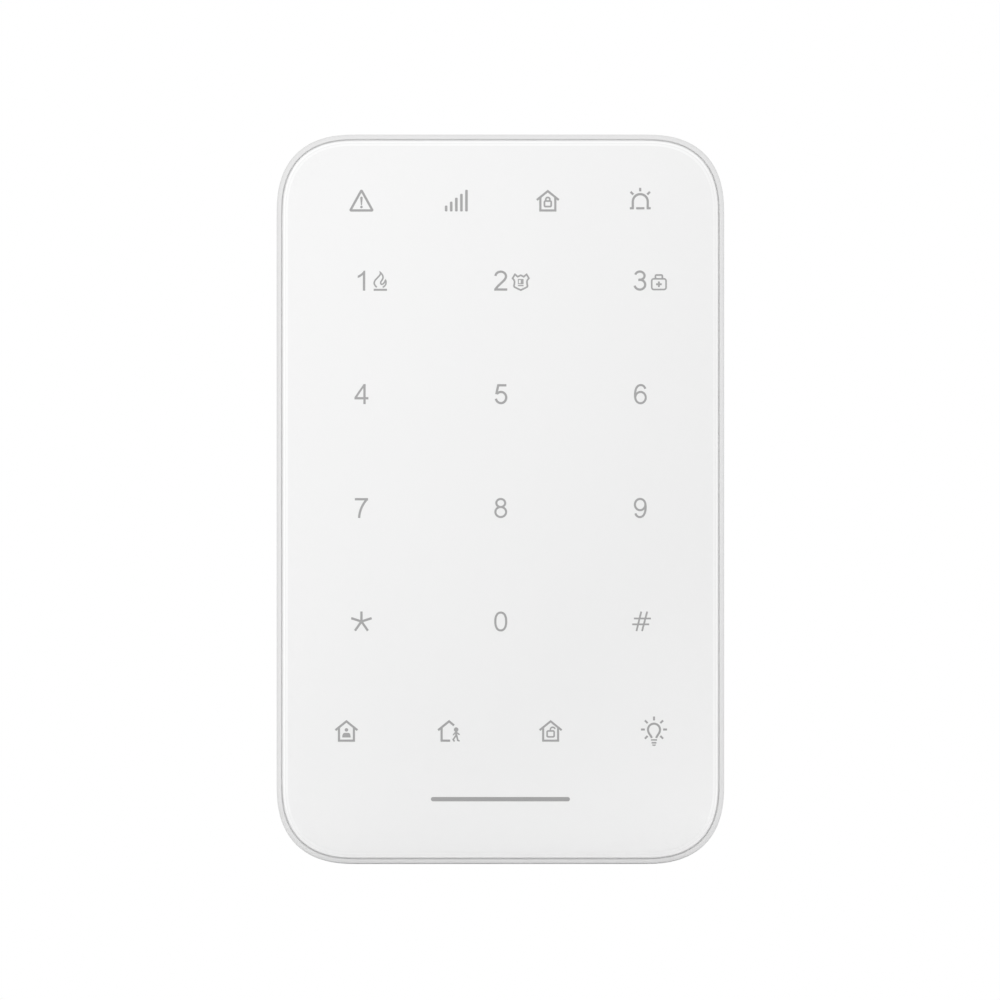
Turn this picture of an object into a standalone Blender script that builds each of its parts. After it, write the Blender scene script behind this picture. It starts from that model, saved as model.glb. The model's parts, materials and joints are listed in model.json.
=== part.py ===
"""Wireless alarm keypad with touch keys, on a wall bracket that it slides off upwards.

The origin is the centre of the bracket's rear face, where it meets the wall. X is the width, Z is up and the
front of the keypad faces -Y. A depth is measured forwards from the wall, so a point at depth d has y = -d.
"""

import math

import bmesh
import bpy
from mathutils import Matrix, Vector

MM = 0.001

# ---- Overall size and shared clearances ----
WIDTH = 94.0 * MM
HEIGHT = 153.2 * MM
CORNER_REACH = 16.8 * MM  # how far the corner's curve runs along each side
CORNER_POWER = 2.5  # power of the superellipse that the corner follows
CORNER_STEPS = 20
GAP = 0.3 * MM  # between two pieces that touch
SOLDER = 0.15 * MM  # between the board and a piece soldered to it
EMBED = 0.6 * MM  # how far a rib, post or block is sunk into the wall that carries it
OVERRUN = 1.5 * MM  # how far a cutter runs past the face that it opens
ROUND_SIDES = 20
SMALL_SIDES = 12
HOLE_SIDES = 16

# ---- Layers, from the wall to the front ----
PLATE_THICKNESS = 2.2 * MM
REAR_WALL = 1.8 * MM
CELL_RADIUS = 5.25 * MM
CELL_INSET = 0.4 * MM  # from the rear housing's back face in to the cells
BAY_WALL = 1.2 * MM
BOARD_SPACE = 1.7 * MM  # behind the board, for low components
BOARD_THICKNESS = 1.2 * MM
SHIELD_THICKNESS = 2.1 * MM
FRONT_WALL = 1.2 * MM
FILM_THICKNESS = 0.2 * MM
PANEL_THICKNESS = 2.0 * MM

SHELL_BACK = PLATE_THICKNESS + GAP
REAR_FLOOR = SHELL_BACK + REAR_WALL
CELL_DEPTH = SHELL_BACK + CELL_INSET + CELL_RADIUS
BAY_FLOOR = CELL_DEPTH + CELL_RADIUS + GAP
BAY_SKIN = BAY_FLOOR + BAY_WALL
BOARD_BACK = BAY_SKIN + BOARD_SPACE
BOARD_FRONT = BOARD_BACK + BOARD_THICKNESS
SHIELD_BACK = BOARD_FRONT + GAP
SHIELD_FRONT = SHIELD_BACK + SHIELD_THICKNESS
WALL_BACK = SHIELD_FRONT + GAP
WALL_FRONT = WALL_BACK + FRONT_WALL
FILM_BACK = WALL_FRONT + GAP
FILM_FRONT = FILM_BACK + FILM_THICKNESS
PANEL_BACK = FILM_FRONT + GAP
PANEL_FRONT = PANEL_BACK + PANEL_THICKNESS

# ---- Front panel, its tape and its film ----
RIM = 1.05 * MM  # width of the front housing's rim
PANEL_SLOT = 0.25 * MM  # between the rim and the panel
PANEL_EDGE_DROP = 0.6 * MM  # depth of the panel's rounded edge
PANEL_EDGE_RUN = 0.9 * MM  # width of the panel's rounded edge
PANEL_EDGE_STEPS = 5
TAPE_INSET = 1.0 * MM
TAPE_WIDTH = 4.0 * MM
PANEL_INSET = RIM + PANEL_SLOT

# ---- Front housing ----
RIM_LIP = 0.35 * MM  # how far the panel stands proud of the rim
RIM_ROUND = 0.5 * MM
FRONT_SIDE_WALL = 1.8 * MM
LAP_DEPTH = 1.0 * MM  # thickness of the front housing where it laps over the rear housing's lip
LAP_HEIGHT = 2.5 * MM
PART_LINE = 8.7 * MM  # depth of the rear housing's edge

# ---- Rear housing ----
LIP_THICKNESS = 0.8 * MM
BACK_TAPER = 3.2 * MM  # how far the back face stands in from the sides
INNER_TAPER = 1.5 * MM
HOUSING_SCREW_SIDE = 7.0 * MM  # housing screws, in from the side
HOUSING_SCREW_END = 10.6 * MM  # housing screws, in from the top and bottom
POST_RADIUS = 3.4 * MM
BOSS_RADIUS = 3.0 * MM
POST_TOP = 12.2 * MM
COUNTERBORE_DEPTH = 4.1 * MM
SOUND_SLOTS = 5
SOUND_SLOT_WIDTH = 1.2 * MM
SOUND_SLOT_PITCH = 2.3 * MM
SOUND_SLOT_LENGTH = 8.0 * MM

# ---- Screws ----
HOUSING_HEAD_RADIUS = 2.1 * MM
HOUSING_HEAD_HEIGHT = 1.5 * MM
HOUSING_SHANK_RADIUS = 1.1 * MM
HOUSING_SHANK_LENGTH = 11.0 * MM
BOARD_HEAD_RADIUS = 2.1 * MM
BOARD_HEAD_HEIGHT = 1.0 * MM
BOARD_SHANK_RADIUS = 0.9 * MM
BOARD_SHANK_LENGTH = 4.6 * MM
BOARD_BOSS_RADIUS = 2.3 * MM
SECURITY_HEAD_RADIUS = 1.9 * MM
SECURITY_HEAD_HEIGHT = 1.3 * MM
SECURITY_SHANK_RADIUS = 1.1 * MM
SECURITY_SHANK_LENGTH = 10.0 * MM
CROSS_WIDTH = 0.6 * MM
CROSS_DEPTH = 0.6 * MM
SCREW_CLEARANCE = 0.3 * MM
HEAD_CLEARANCE = 0.4 * MM

# ---- Keys, indicators and their light wells ----
KEY_SIDE = 17.7 * MM  # outer key column, in from the side
KEY_SHIFT = 0.2 * MM
KEY_TOP = 30.7 * MM  # first key row, down from the top
KEY_BOTTOM = 50.9 * MM  # last key row, up from the bottom
FUNCTION_SIDE = 14.75 * MM
FUNCTION_BOTTOM = 27.9 * MM
INDICATOR_TOP = 13.9 * MM
KEY_WELL = (2.4 * MM, 2.9 * MM)  # half width and half height of a well
WIDE_KEY_WELL = (4.2 * MM, 2.9 * MM)
WIDE_KEY_SHIFT = 1.9 * MM  # the first row carries a symbol beside each digit
FUNCTION_WELL = (3.1 * MM, 3.4 * MM)
INDICATOR_WELL = (2.9 * MM, 2.7 * MM)
LAMP_SIZE = (3.0 * MM, 2.4 * MM, 0.8 * MM)

# ---- Board and shield ----
BOARD_CLEARANCE = 1.2 * MM  # from a screw boss to the board
SHIELD_CLEARANCE = 0.5 * MM  # from a screw boss to the light shield
BOARD_TOP_MARGIN = 5.0 * MM  # board past the indicators
BOARD_BOTTOM_MARGIN = 6.5 * MM  # board past the function keys
SHIELD_END_TRIM = 0.5 * MM
BOARD_CORNER = 2.0 * MM

# ---- Battery bay ----
BAY_Z = -5.0 * MM
CELL_LENGTH = 44.5 * MM
CELL_GAP = 0.5 * MM
CELL_SIDE_GAP = 0.4 * MM
NUB_RADIUS = 1.9 * MM
NUB_HEIGHT = 0.9 * MM
CONTACT_THICKNESS = 0.4 * MM
CONTACT_WIDTH = 8.0 * MM
CONTACT_TRIM = 0.4 * MM
TAIL_WIDTH = 2.5 * MM
SPRING_HEIGHT = 4.6 * MM
SPRING_FOOT_RADIUS = 2.6 * MM
SPRING_TIP_RADIUS = 1.7 * MM
SPRING_WIRE = 0.3 * MM
SPRING_TURNS = 3.5
RIB_WIDTH = 1.0 * MM
RIB_HEIGHT = 2.5 * MM

# ---- Wall bracket ----
BRACKET_INSET = 4.0 * MM
PLATE_CHAMFER = 0.5 * MM
TRAVEL = 8.0 * MM  # how far up the keypad slides before its hooks let go
HOOK_SIDE = 16.0 * MM
HOOK_WIDTH = 8.0 * MM
HOOK_NECK = 2.6 * MM
HOOK_RISE = 6.0 * MM
HOOK_THICKNESS = 1.8 * MM
HOOK_SIDE_GAP = 0.5 * MM
TOP_HOOK_OFFSET = 16.0 * MM  # neck of the upper hooks, above the bay
LOW_HOOK_OFFSET = 1.5 * MM  # tip of the lower hooks, below the bay
SLOT_SIDE = 30.0 * MM  # wall screw slots, in from the side
SLOT_END = 14.0 * MM  # wall screw slots, in from the top and bottom
SLOT_RADIUS = 2.0 * MM
SLOT_LENGTH = 8.0 * MM
HEAD_SLOT_RADIUS = 3.9 * MM
HEAD_SLOT_DEPTH = 1.2 * MM
CORE_DEPTH = 0.9 * MM  # recesses in the wall side, which leave a frame and ribs
CORE_EDGE = 6.0 * MM
CORE_SPINE = 6.0 * MM
CORE_RIB = 3.0 * MM
CORE_CORNER = 2.0 * MM

# ---- Security block ----
BLOCK_INSET = 3.4 * MM  # bottom of the block, up from the bottom of the keypad
BLOCK_HALF_WIDTH = 5.5 * MM
BLOCK_HEIGHT = 6.5 * MM
BLOCK_WALL = 0.4 * MM  # of the block, in front of the security screw's head
NOTCH_WALL = 1.4 * MM
SECURITY_DEPTH = 5.0 * MM
SECURITY_RECESS = 2.0 * MM
SECURITY_END_WALL = 0.5 * MM
SECURITY_BOSS_HALF = 3.0 * MM

# ---- Tamper plunger ----
TAMPER_X = 11.0 * MM
PLUNGER_TRAVEL = 1.5 * MM
PLUNGER_TIP_RADIUS = 1.9 * MM
PLUNGER_TIP_ROUND = 0.6 * MM
FLANGE_RADIUS = 2.8 * MM
FLANGE_THICKNESS = 1.2 * MM
STEM_RADIUS = 1.1 * MM
GUIDE_WALL = 1.2 * MM
GUIDE_CLEARANCE = 0.4 * MM
GUIDE_HEIGHT = 5.0 * MM
TAMPER_SWITCH_HALF = 3.0 * MM
TAMPER_SWITCH_HEIGHT = 3.6 * MM
TAMPER_BUTTON_RADIUS = 1.2 * MM
TAMPER_BUTTON_HEIGHT = 0.9 * MM
TAMPER_WIRE = 0.2 * MM
TAMPER_COIL_RADIUS = 1.9 * MM
TAMPER_TURNS = 4
TROUGH_CLEARANCE = 0.6 * MM
TAB_SIDE = 2.6 * MM  # from the trough to the breakaway slits
TAB_SLIT = 1.0 * MM
TAB_BRIDGE = 2.0 * MM
TAB_HOLE_RISE = 5.0 * MM
BAY_SPACING = 1.0 * MM  # between the bay and what stands next to it

# ---- Power switch ----
SWITCH_X = -12.0 * MM
SWITCH_TRAVEL = 2.5 * MM
KNOB_HALF = (1.0 * MM, 1.1 * MM)
KNOB_BACK = 7.5 * MM
POCKET_HALF = (3.6 * MM, 7.0 * MM)
POCKET_FLOOR = 11.0 * MM
POCKET_WALL = 1.2 * MM
SWITCH_HALF = (2.4 * MM, 4.6 * MM)
SWITCH_SLOT_DEPTH = 1.2 * MM
RUN_CLEARANCE = 0.3 * MM

# ---- Components on the board ----
CHIP_HALF = 3.5 * MM
CHIP_HEIGHT = 0.9 * MM
TOUCH_CHIP_HALF = (3.0 * MM, 2.5 * MM)
CHIP_OFFSET = (7.0 * MM, 9.0 * MM)
TOUCH_CHIP_OFFSET = (-9.0 * MM, -7.0 * MM)
CAN_X = 11.0 * MM
CAN_HALF = (8.0 * MM, 6.0 * MM)
CAN_HEIGHT = 2.0 * MM
CAN_DROP = 13.0 * MM
BUZZER_X = 10.0 * MM
BUZZER_RADIUS = 6.0 * MM
BUZZER_HEIGHT = 5.5 * MM
BUZZER_HOLE_RADIUS = 1.2 * MM
BUZZER_HOLE_DEPTH = 2.0 * MM
ANTENNA_X = -12.0 * MM
ANTENNA_LENGTH = 24.0 * MM
ANTENNA_RADIUS = 2.2 * MM
ANTENNA_WIRE = 0.35 * MM
ANTENNA_TURNS = 7
ANTENNA_DROP = 3.6 * MM

# ---- Places worked out from the sizes above ----
HALF_WIDTH = WIDTH / 2
HALF_HEIGHT = HEIGHT / 2
KEY_PITCH = HALF_WIDTH - KEY_SIDE
TOP_ROW = HALF_HEIGHT - KEY_TOP
ROW_PITCH = (HEIGHT - KEY_TOP - KEY_BOTTOM) / 3
FUNCTION_ROW = -HALF_HEIGHT + FUNCTION_BOTTOM
FUNCTION_PITCH = (HALF_WIDTH - FUNCTION_SIDE) * 2 / 3
INDICATOR_ROW = HALF_HEIGHT - INDICATOR_TOP
INDICATOR_PITCH = KEY_PITCH * 2 / 3
BOSS_X = HALF_WIDTH - HOUSING_SCREW_SIDE
BOSS_Z = HALF_HEIGHT - HOUSING_SCREW_END
BOARD_HALF = BOSS_X - BOSS_RADIUS - BOARD_CLEARANCE
BOARD_TOP = INDICATOR_ROW + BOARD_TOP_MARGIN
BOARD_BOTTOM = FUNCTION_ROW - BOARD_BOTTOM_MARGIN
SHIELD_HALF = BOSS_X - BOSS_RADIUS - SHIELD_CLEARANCE
BOARD_SCREWS = (TOP_ROW - ROW_PITCH / 2, (TOP_ROW - 3 * ROW_PITCH + FUNCTION_ROW) / 2)
CELL_PITCH = 2 * CELL_RADIUS + CELL_GAP
BAY_HALF_X = 1.5 * CELL_PITCH + CELL_RADIUS + CELL_SIDE_GAP
BAY_HALF_Z = (CELL_LENGTH + SPRING_HEIGHT + 2 * CONTACT_THICKNESS + 5 * GAP) / 2
BAY_TOP = BAY_Z + BAY_HALF_Z + BAY_WALL
BAY_BOTTOM = BAY_Z - BAY_HALF_Z - BAY_WALL
HOOK_X = HALF_WIDTH - HOOK_SIDE
TOP_HOOK = BAY_TOP + TOP_HOOK_OFFSET
LOW_HOOK = BAY_BOTTOM - GAP - LOW_HOOK_OFFSET - HOOK_RISE
FINGER_BACK = REAR_FLOOR + GAP
FINGER_FRONT = FINGER_BACK + HOOK_THICKNESS
PLUNGER_FLANGE = REAR_FLOOR + PLUNGER_TRAVEL + GAP
TAMPER_SWITCH_BACK = BOARD_BACK - SOLDER - TAMPER_SWITCH_HEIGHT
GUIDE_RADIUS = FLANGE_RADIUS + GUIDE_CLEARANCE + GUIDE_WALL
TAMPER_Z = BAY_BOTTOM - BAY_SPACING - GUIDE_RADIUS
TROUGH_HALF = PLUNGER_TIP_RADIUS + TROUGH_CLEARANCE
TROUGH_TOP = TAMPER_Z + TRAVEL + TROUGH_HALF
TAB_HOLE = TROUGH_TOP + TAB_HOLE_RISE
SLOT_X = HALF_WIDTH - SLOT_SIDE
SLOT_Z = HALF_HEIGHT - SLOT_END
SWITCH_Z = BAY_TOP + BAY_SPACING + POCKET_HALF[1] + POCKET_WALL
BUZZER_Z = BAY_TOP + 2 * BAY_SPACING + BUZZER_RADIUS
CAN_Z = BOARD_TOP - CAN_DROP
ANTENNA_Z = BOARD_TOP - ANTENNA_DROP
BLOCK_BOTTOM = -HALF_HEIGHT + BLOCK_INSET
BLOCK_TOP = BLOCK_BOTTOM + BLOCK_HEIGHT
BLOCK_FRONT = SECURITY_DEPTH + SECURITY_HEAD_RADIUS + SCREW_CLEARANCE + BLOCK_WALL
SECURITY_SEAT = BLOCK_BOTTOM + SECURITY_RECESS - GAP
SECURITY_BORE_END = SECURITY_SEAT + SECURITY_SHANK_LENGTH + GAP

# Colour, roughness and metallic of each finish
FINISHES = {
    "panel_white": ((0.90, 0.90, 0.90), 0.08, 0.0),
    "case_white": ((0.78, 0.78, 0.78), 0.45, 0.0),
    "bracket_white": ((0.74, 0.74, 0.73), 0.5, 0.0),
    "shield_white": ((0.85, 0.85, 0.83), 0.5, 0.0),
    "film": ((0.88, 0.88, 0.86), 0.4, 0.0),
    "tape": ((0.20, 0.20, 0.20), 0.8, 0.0),
    "board_green": ((0.02, 0.16, 0.07), 0.35, 0.0),
    "chip_black": ((0.02, 0.02, 0.02), 0.5, 0.0),
    "can_tin": ((0.65, 0.65, 0.64), 0.3, 1.0),
    "copper": ((0.72, 0.40, 0.22), 0.3, 1.0),
    "buzzer_black": ((0.03, 0.03, 0.03), 0.55, 0.0),
    "lamp": ((0.90, 0.87, 0.72), 0.25, 0.0),
    "cell_jacket": ((0.06, 0.12, 0.20), 0.35, 0.2),
    "nickel": ((0.70, 0.68, 0.63), 0.25, 1.0),
    "spring_steel": ((0.62, 0.62, 0.62), 0.25, 1.0),
    "zinc": ((0.60, 0.61, 0.63), 0.35, 1.0),
    "switch_black": ((0.04, 0.04, 0.04), 0.5, 0.0),
    "plunger_grey": ((0.25, 0.25, 0.26), 0.5, 0.0),
    "knob_grey": ((0.35, 0.35, 0.36), 0.5, 0.0),
}


def at(x, depth, z):
    """The point at a depth in front of the wall."""
    return Vector((x, -depth, z))


def clear_scene():
    for obj in list(bpy.data.objects):
        bpy.data.objects.remove(obj)


def finish(name):
    """The material of that name, made when it is first asked for."""
    found = bpy.data.materials.get(name)
    if found:
        return found
    colour, roughness, metallic = FINISHES[name]
    made = bpy.data.materials.new(name)
    made.use_nodes = True
    shader = made.node_tree.nodes["Principled BSDF"]
    shader.inputs["Base Color"].default_value = (*colour, 1.0)
    shader.inputs["Roughness"].default_value = roughness
    shader.inputs["Metallic"].default_value = metallic
    return made


# ---- Outlines, as lists of (x, z) ----


def squircle(inset):
    """The keypad's outline, moved inwards by inset."""
    half_x = HALF_WIDTH - inset
    half_z = HALF_HEIGHT - inset
    reach = CORNER_REACH - inset
    points = []
    for side_x, side_z, rising in ((1, 1, True), (-1, 1, False), (-1, -1, True), (1, -1, False)):
        for step in range(CORNER_STEPS + 1):
            share = step / CORNER_STEPS
            angle = (share if rising else 1 - share) * math.pi / 2
            along_x = reach * abs(math.cos(angle)) ** (2 / CORNER_POWER)
            along_z = reach * abs(math.sin(angle)) ** (2 / CORNER_POWER)
            points.append((side_x * (half_x - reach + along_x), side_z * (half_z - reach + along_z)))
    return points


def rectangle(x0, x1, z0, z1):
    return [(x1, z1), (x0, z1), (x0, z0), (x1, z0)]


def rounded_rectangle(x0, x1, z0, z1, radius, steps=3):
    points = []
    corners = ((x1, z1, -1, -1, 0), (x0, z1, 1, -1, 90), (x0, z0, 1, 1, 180), (x1, z0, -1, 1, 270))
    for x, z, in_x, in_z, start in corners:
        for step in range(steps + 1):
            angle = math.radians(start + 90 * step / steps)
            points.append(
                (x + in_x * radius + radius * math.cos(angle), z + in_z * radius + radius * math.sin(angle))
            )
    return points


def circle(x, z, radius, sides=ROUND_SIDES):
    turns = [2 * math.pi * i / sides for i in range(sides)]
    return [(x + radius * math.cos(turn), z + radius * math.sin(turn)) for turn in turns]


def slot_outline(x, z, radius, length, steps=6):
    """A slot of round ends, long way along X."""
    half = length / 2
    return rounded_rectangle(x - half, x + half, z - radius, z + radius, radius, steps)


# ---- Closed shapes added to a bmesh ----


def loft(shape, rings):
    """Skins rings of equal count and closes the first and the last."""
    loops = [[shape.verts.new(point) for point in ring] for ring in rings]
    faces = [shape.faces.new(loops[0]), shape.faces.new(loops[-1])]
    for lower, upper in zip(loops, loops[1:]):
        for i in range(len(lower)):
            j = (i + 1) % len(lower)
            faces.append(shape.faces.new((lower[i], lower[j], upper[j], upper[i])))
    bmesh.ops.recalc_face_normals(shape, faces=faces)


def layer(outline, depth):
    return [at(x, depth, z) for x, z in outline]


def prism(shape, outline, back, front):
    """An outline pushed forwards from one depth to another."""
    loft(shape, [layer(outline, back), layer(outline, front)])


def block(shape, x0, x1, back, front, z0, z1):
    prism(shape, rectangle(x0, x1, z0, z1), back, front)


def across(shape, outline, x0, x1):
    """An outline of (depth, z) pushed sideways."""
    loft(shape, [[at(x, depth, z) for depth, z in outline] for x in (x0, x1)])


def upright(shape, outline, z0, z1):
    """An outline of (x, depth) pushed upwards."""
    loft(shape, [[at(x, depth, z) for x, depth in outline] for z in (z0, z1)])


def stepped_hole(shape, x, z, radii, depths):
    """A round hole of two radii, from the first depth to the second and on to the third."""
    back, seat, front = depths
    first, second = (circle(x, z, radius, HOLE_SIDES) for radius in radii)
    loft(shape, [layer(first, back), layer(first, seat), layer(second, seat), layer(second, front)])


def turned(shape, profile, sides, forward):
    """A profile of (radius, height) turned about Y, where height is depth, or about Z."""
    rings = []
    for radius, height in profile:
        if forward:
            rings.append(layer(circle(0, 0, radius, sides), height))
        else:
            rings.append([Vector((x, z, height)) for x, z in circle(0, 0, radius, sides)])
    loft(shape, rings)


def coil(shape, foot_radius, tip_radius, height, turns, wire, steps=10, sides=6):
    """A wire wound about Z, with its ends closed."""
    rings = []
    count = int(turns * steps)
    rise = (height - 2 * wire) / count
    for i in range(count + 1):
        share = i / count
        radius = foot_radius + (tip_radius - foot_radius) * share
        angle = 2 * math.pi * turns * share
        out = Vector((math.cos(angle), math.sin(angle), 0))
        along = Vector((-math.sin(angle) * radius * 2 * math.pi / steps, 0, rise))
        along.y = math.cos(angle) * radius * 2 * math.pi / steps
        up = out.cross(along.normalized())
        centre = out * radius + Vector((0, 0, wire + i * rise))
        ring = []
        for side in range(sides):
            turn = 2 * math.pi * side / sides
            ring.append(centre + (out * math.cos(turn) + up * math.sin(turn)) * wire)
        rings.append(ring)
    loft(shape, rings)


# ---- Objects ----


def mesh_of(name, shape):
    mesh = bpy.data.meshes.new(name)
    shape.to_mesh(mesh)
    shape.free()
    return mesh


def smooth(mesh):
    mesh.shade_smooth()
    mesh.set_sharp_from_angle(angle=math.radians(30))


def piece(name, mesh, finish_name, body, place=(0, 0, 0), turn=None):
    """A sub-part on a body, with its origin at a place in the object's frame."""
    obj = bpy.data.objects.new(name, mesh)
    bpy.context.scene.collection.objects.link(obj)
    if not mesh.materials:
        mesh.materials.append(finish(finish_name))
    obj.parent = body
    obj.location = Vector(place) - Vector(body["place"])
    if turn:
        obj.rotation_euler = turn
    smooth(mesh)
    return obj


def body_empty(name, place=(0, 0, 0), parent=None):
    """An empty on a body's joint axis, which carries the body's pieces."""
    empty = bpy.data.objects.new(name, None)
    bpy.context.scene.collection.objects.link(empty)
    empty["place"] = tuple(place)
    empty.location = Vector(place)
    if parent:
        empty.parent = parent
        empty.location = Vector(place) - Vector(parent["place"])
    return empty


def combine(target, operation, shape, label):
    """A Boolean on target with a hidden helper of the given shape."""
    helper = bpy.data.objects.new(f"{target.name}.{label}", mesh_of(label, shape))
    bpy.context.scene.collection.objects.link(helper)
    helper.hide_render = True
    helper.display_type = "WIRE"
    helper.parent = target
    modifier = target.modifiers.new(label, "BOOLEAN")
    modifier.operation = operation
    modifier.solver = "EXACT"
    modifier.object = helper


def join(target, shape, label):
    combine(target, "UNION", shape, label)


def cut(target, shape, label):
    combine(target, "DIFFERENCE", shape, label)


# ---- Legend places and the light wells behind them ----


def wells():
    """The name, centre and half size of the light well behind each legend."""
    found = []
    key_number = 1
    for row in range(4):
        for column in (-1, 0, 1):
            x = column * KEY_PITCH + KEY_SHIFT
            z = TOP_ROW - row * ROW_PITCH
            if row == 0:
                found.append((f"lamp_key_{key_number:02}", x + WIDE_KEY_SHIFT, z, WIDE_KEY_WELL))
            else:
                found.append((f"lamp_key_{key_number:02}", x, z, KEY_WELL))
            key_number += 1
    for number, place in enumerate((-1.5, -0.5, 0.5, 1.5), 1):
        found.append((f"lamp_function_{number}", place * FUNCTION_PITCH, FUNCTION_ROW, FUNCTION_WELL))
        x = place * INDICATOR_PITCH + KEY_SHIFT
        found.append((f"lamp_indicator_{number}", x, INDICATOR_ROW, INDICATOR_WELL))
    return found


def well_cutter(back, front):
    shape = bmesh.new()
    for _, x, z, (half_x, half_z) in wells():
        block(shape, x - half_x, x + half_x, back, front, z - half_z, z + half_z)
    return shape


def corners(x, z):
    return [(side_x * x, side_z * z) for side_x in (-1, 1) for side_z in (-1, 1)]


# ---- Front of the keypad ----


def make_front_panel(body):
    shape = bmesh.new()
    rings = [layer(squircle(PANEL_INSET), PANEL_BACK)]
    for step in range(PANEL_EDGE_STEPS + 1):
        angle = step / PANEL_EDGE_STEPS * math.pi / 2
        inset = PANEL_INSET + PANEL_EDGE_RUN * (1 - math.cos(angle))
        depth = PANEL_FRONT - PANEL_EDGE_DROP * (1 - math.sin(angle))
        rings.append(layer(squircle(inset), depth))
    loft(shape, rings)
    piece("front_panel", mesh_of("front_panel", shape), "panel_white", body)


def make_panel_adhesive(body):
    outer = PANEL_INSET + TAPE_INSET
    shape = bmesh.new()
    prism(shape, squircle(outer), FILM_BACK, FILM_FRONT)
    tape = piece("panel_adhesive", mesh_of("panel_adhesive", shape), "tape", body)
    hole = bmesh.new()
    prism(hole, squircle(outer + TAPE_WIDTH), FILM_BACK - OVERRUN, FILM_FRONT + OVERRUN)
    cut(tape, hole, "middle")


def make_diffuser_film(body):
    shape = bmesh.new()
    inset = PANEL_INSET + TAPE_INSET + TAPE_WIDTH + GAP
    prism(shape, squircle(inset), FILM_BACK, FILM_FRONT)
    piece("diffuser_film", mesh_of("diffuser_film", shape), "film", body)


def make_front_housing(body):
    rim_top = PANEL_FRONT - RIM_LIP
    edge = PART_LINE + GAP
    step = edge + LAP_HEIGHT
    shape = bmesh.new()
    rings = [
        layer(squircle(RIM), WALL_FRONT),
        layer(squircle(RIM), rim_top - RIM_ROUND / 4),
        layer(squircle(RIM - RIM_ROUND / 4), rim_top),
        layer(squircle(RIM_ROUND), rim_top),
        layer(squircle(RIM_ROUND * 0.3), rim_top - RIM_ROUND * 0.3),
        layer(squircle(0), rim_top - RIM_ROUND),
        layer(squircle(0), edge),
        layer(squircle(LAP_DEPTH), edge),
        layer(squircle(LAP_DEPTH), step),
        layer(squircle(FRONT_SIDE_WALL), step),
        layer(squircle(FRONT_SIDE_WALL), WALL_BACK),
    ]
    loft(shape, rings)
    housing = piece("front_housing", mesh_of("front_housing", shape), "case_white", body)

    bosses = bmesh.new()
    for x, z in corners(BOSS_X, BOSS_Z):
        prism(bosses, circle(x, z, BOSS_RADIUS), POST_TOP + GAP, WALL_BACK + EMBED)
    for z in BOARD_SCREWS:
        prism(bosses, circle(0, z, BOARD_BOSS_RADIUS, SMALL_SIDES), SHIELD_BACK, WALL_BACK + EMBED)
    join(housing, bosses, "bosses")

    openings = well_cutter(WALL_BACK - OVERRUN, WALL_FRONT + OVERRUN)
    tip = housing_screw_depth() + HOUSING_SHANK_LENGTH + GAP
    bore = HOUSING_SHANK_RADIUS + SCREW_CLEARANCE
    for x, z in corners(BOSS_X, BOSS_Z):
        stepped_hole(openings, x, z, (POST_RADIUS + GAP, bore), (edge - OVERRUN, POST_TOP + GAP, tip))
    tip = BOARD_BACK - GAP + BOARD_SHANK_LENGTH + GAP
    for z in BOARD_SCREWS:
        radius = BOARD_SHANK_RADIUS + SCREW_CLEARANCE
        prism(openings, circle(0, z, radius, SMALL_SIDES), SHIELD_BACK - OVERRUN, tip)
    cut(housing, openings, "openings")


# ---- Light shield, board and what is on it ----


def make_light_shield(body):
    shape = bmesh.new()
    outline = rounded_rectangle(
        -SHIELD_HALF, SHIELD_HALF, BOARD_BOTTOM + SHIELD_END_TRIM, BOARD_TOP - SHIELD_END_TRIM, BOARD_CORNER
    )
    prism(shape, outline, SHIELD_BACK, SHIELD_FRONT)
    shield = piece("light_shield", mesh_of("light_shield", shape), "shield_white", body)
    openings = well_cutter(SHIELD_BACK - OVERRUN, SHIELD_FRONT + OVERRUN)
    for z in BOARD_SCREWS:
        radius = BOARD_BOSS_RADIUS + SHIELD_CLEARANCE
        prism(openings, circle(0, z, radius, SMALL_SIDES), SHIELD_BACK - OVERRUN, SHIELD_FRONT + OVERRUN)
    cut(shield, openings, "wells")


def make_main_board(body):
    shape = bmesh.new()
    outline = rounded_rectangle(-BOARD_HALF, BOARD_HALF, BOARD_BOTTOM, BOARD_TOP, BOARD_CORNER)
    prism(shape, outline, BOARD_BACK, BOARD_FRONT)
    board = piece("main_board", mesh_of("main_board", shape), "board_green", body)
    holes = bmesh.new()
    for z in BOARD_SCREWS:
        radius = BOARD_SHANK_RADIUS + SCREW_CLEARANCE
        prism(holes, circle(0, z, radius, SMALL_SIDES), BOARD_BACK - OVERRUN, BOARD_FRONT + OVERRUN)
    cut(board, holes, "screw_holes")


def make_lamps(body):
    """A lamp in each light well: a base with a narrower lens on its front."""
    width, height, thickness = LAMP_SIZE
    shape = bmesh.new()
    rings = []
    for share, depth in ((1.0, 0.0), (1.0, 0.6), (0.8, 0.75), (0.7, 1.0)):
        half_x = width / 2 * share
        half_z = height / 2 * share
        rings.append(layer(rectangle(-half_x, half_x, -half_z, half_z), depth * thickness))
    loft(shape, rings)
    mesh = mesh_of("lamp", shape)
    for name, x, z, _ in wells():
        piece(name, mesh, "lamp", body, at(x, BOARD_FRONT + SOLDER, z))


def make_chip(name, half_x, half_z, x, z, body):
    """A flat package on the back of the board, with sloped sides."""
    slope = CHIP_HEIGHT / 4
    wide = rectangle(-half_x, half_x, -half_z, half_z)
    narrow = rectangle(-half_x + slope, half_x - slope, -half_z + slope, half_z - slope)
    shape = bmesh.new()
    loft(shape, [layer(narrow, 0), layer(wide, -CHIP_HEIGHT / 2), layer(narrow, -CHIP_HEIGHT)])
    piece(name, mesh_of(name, shape), "chip_black", body, at(x, BOARD_BACK - SOLDER, z))


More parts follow.
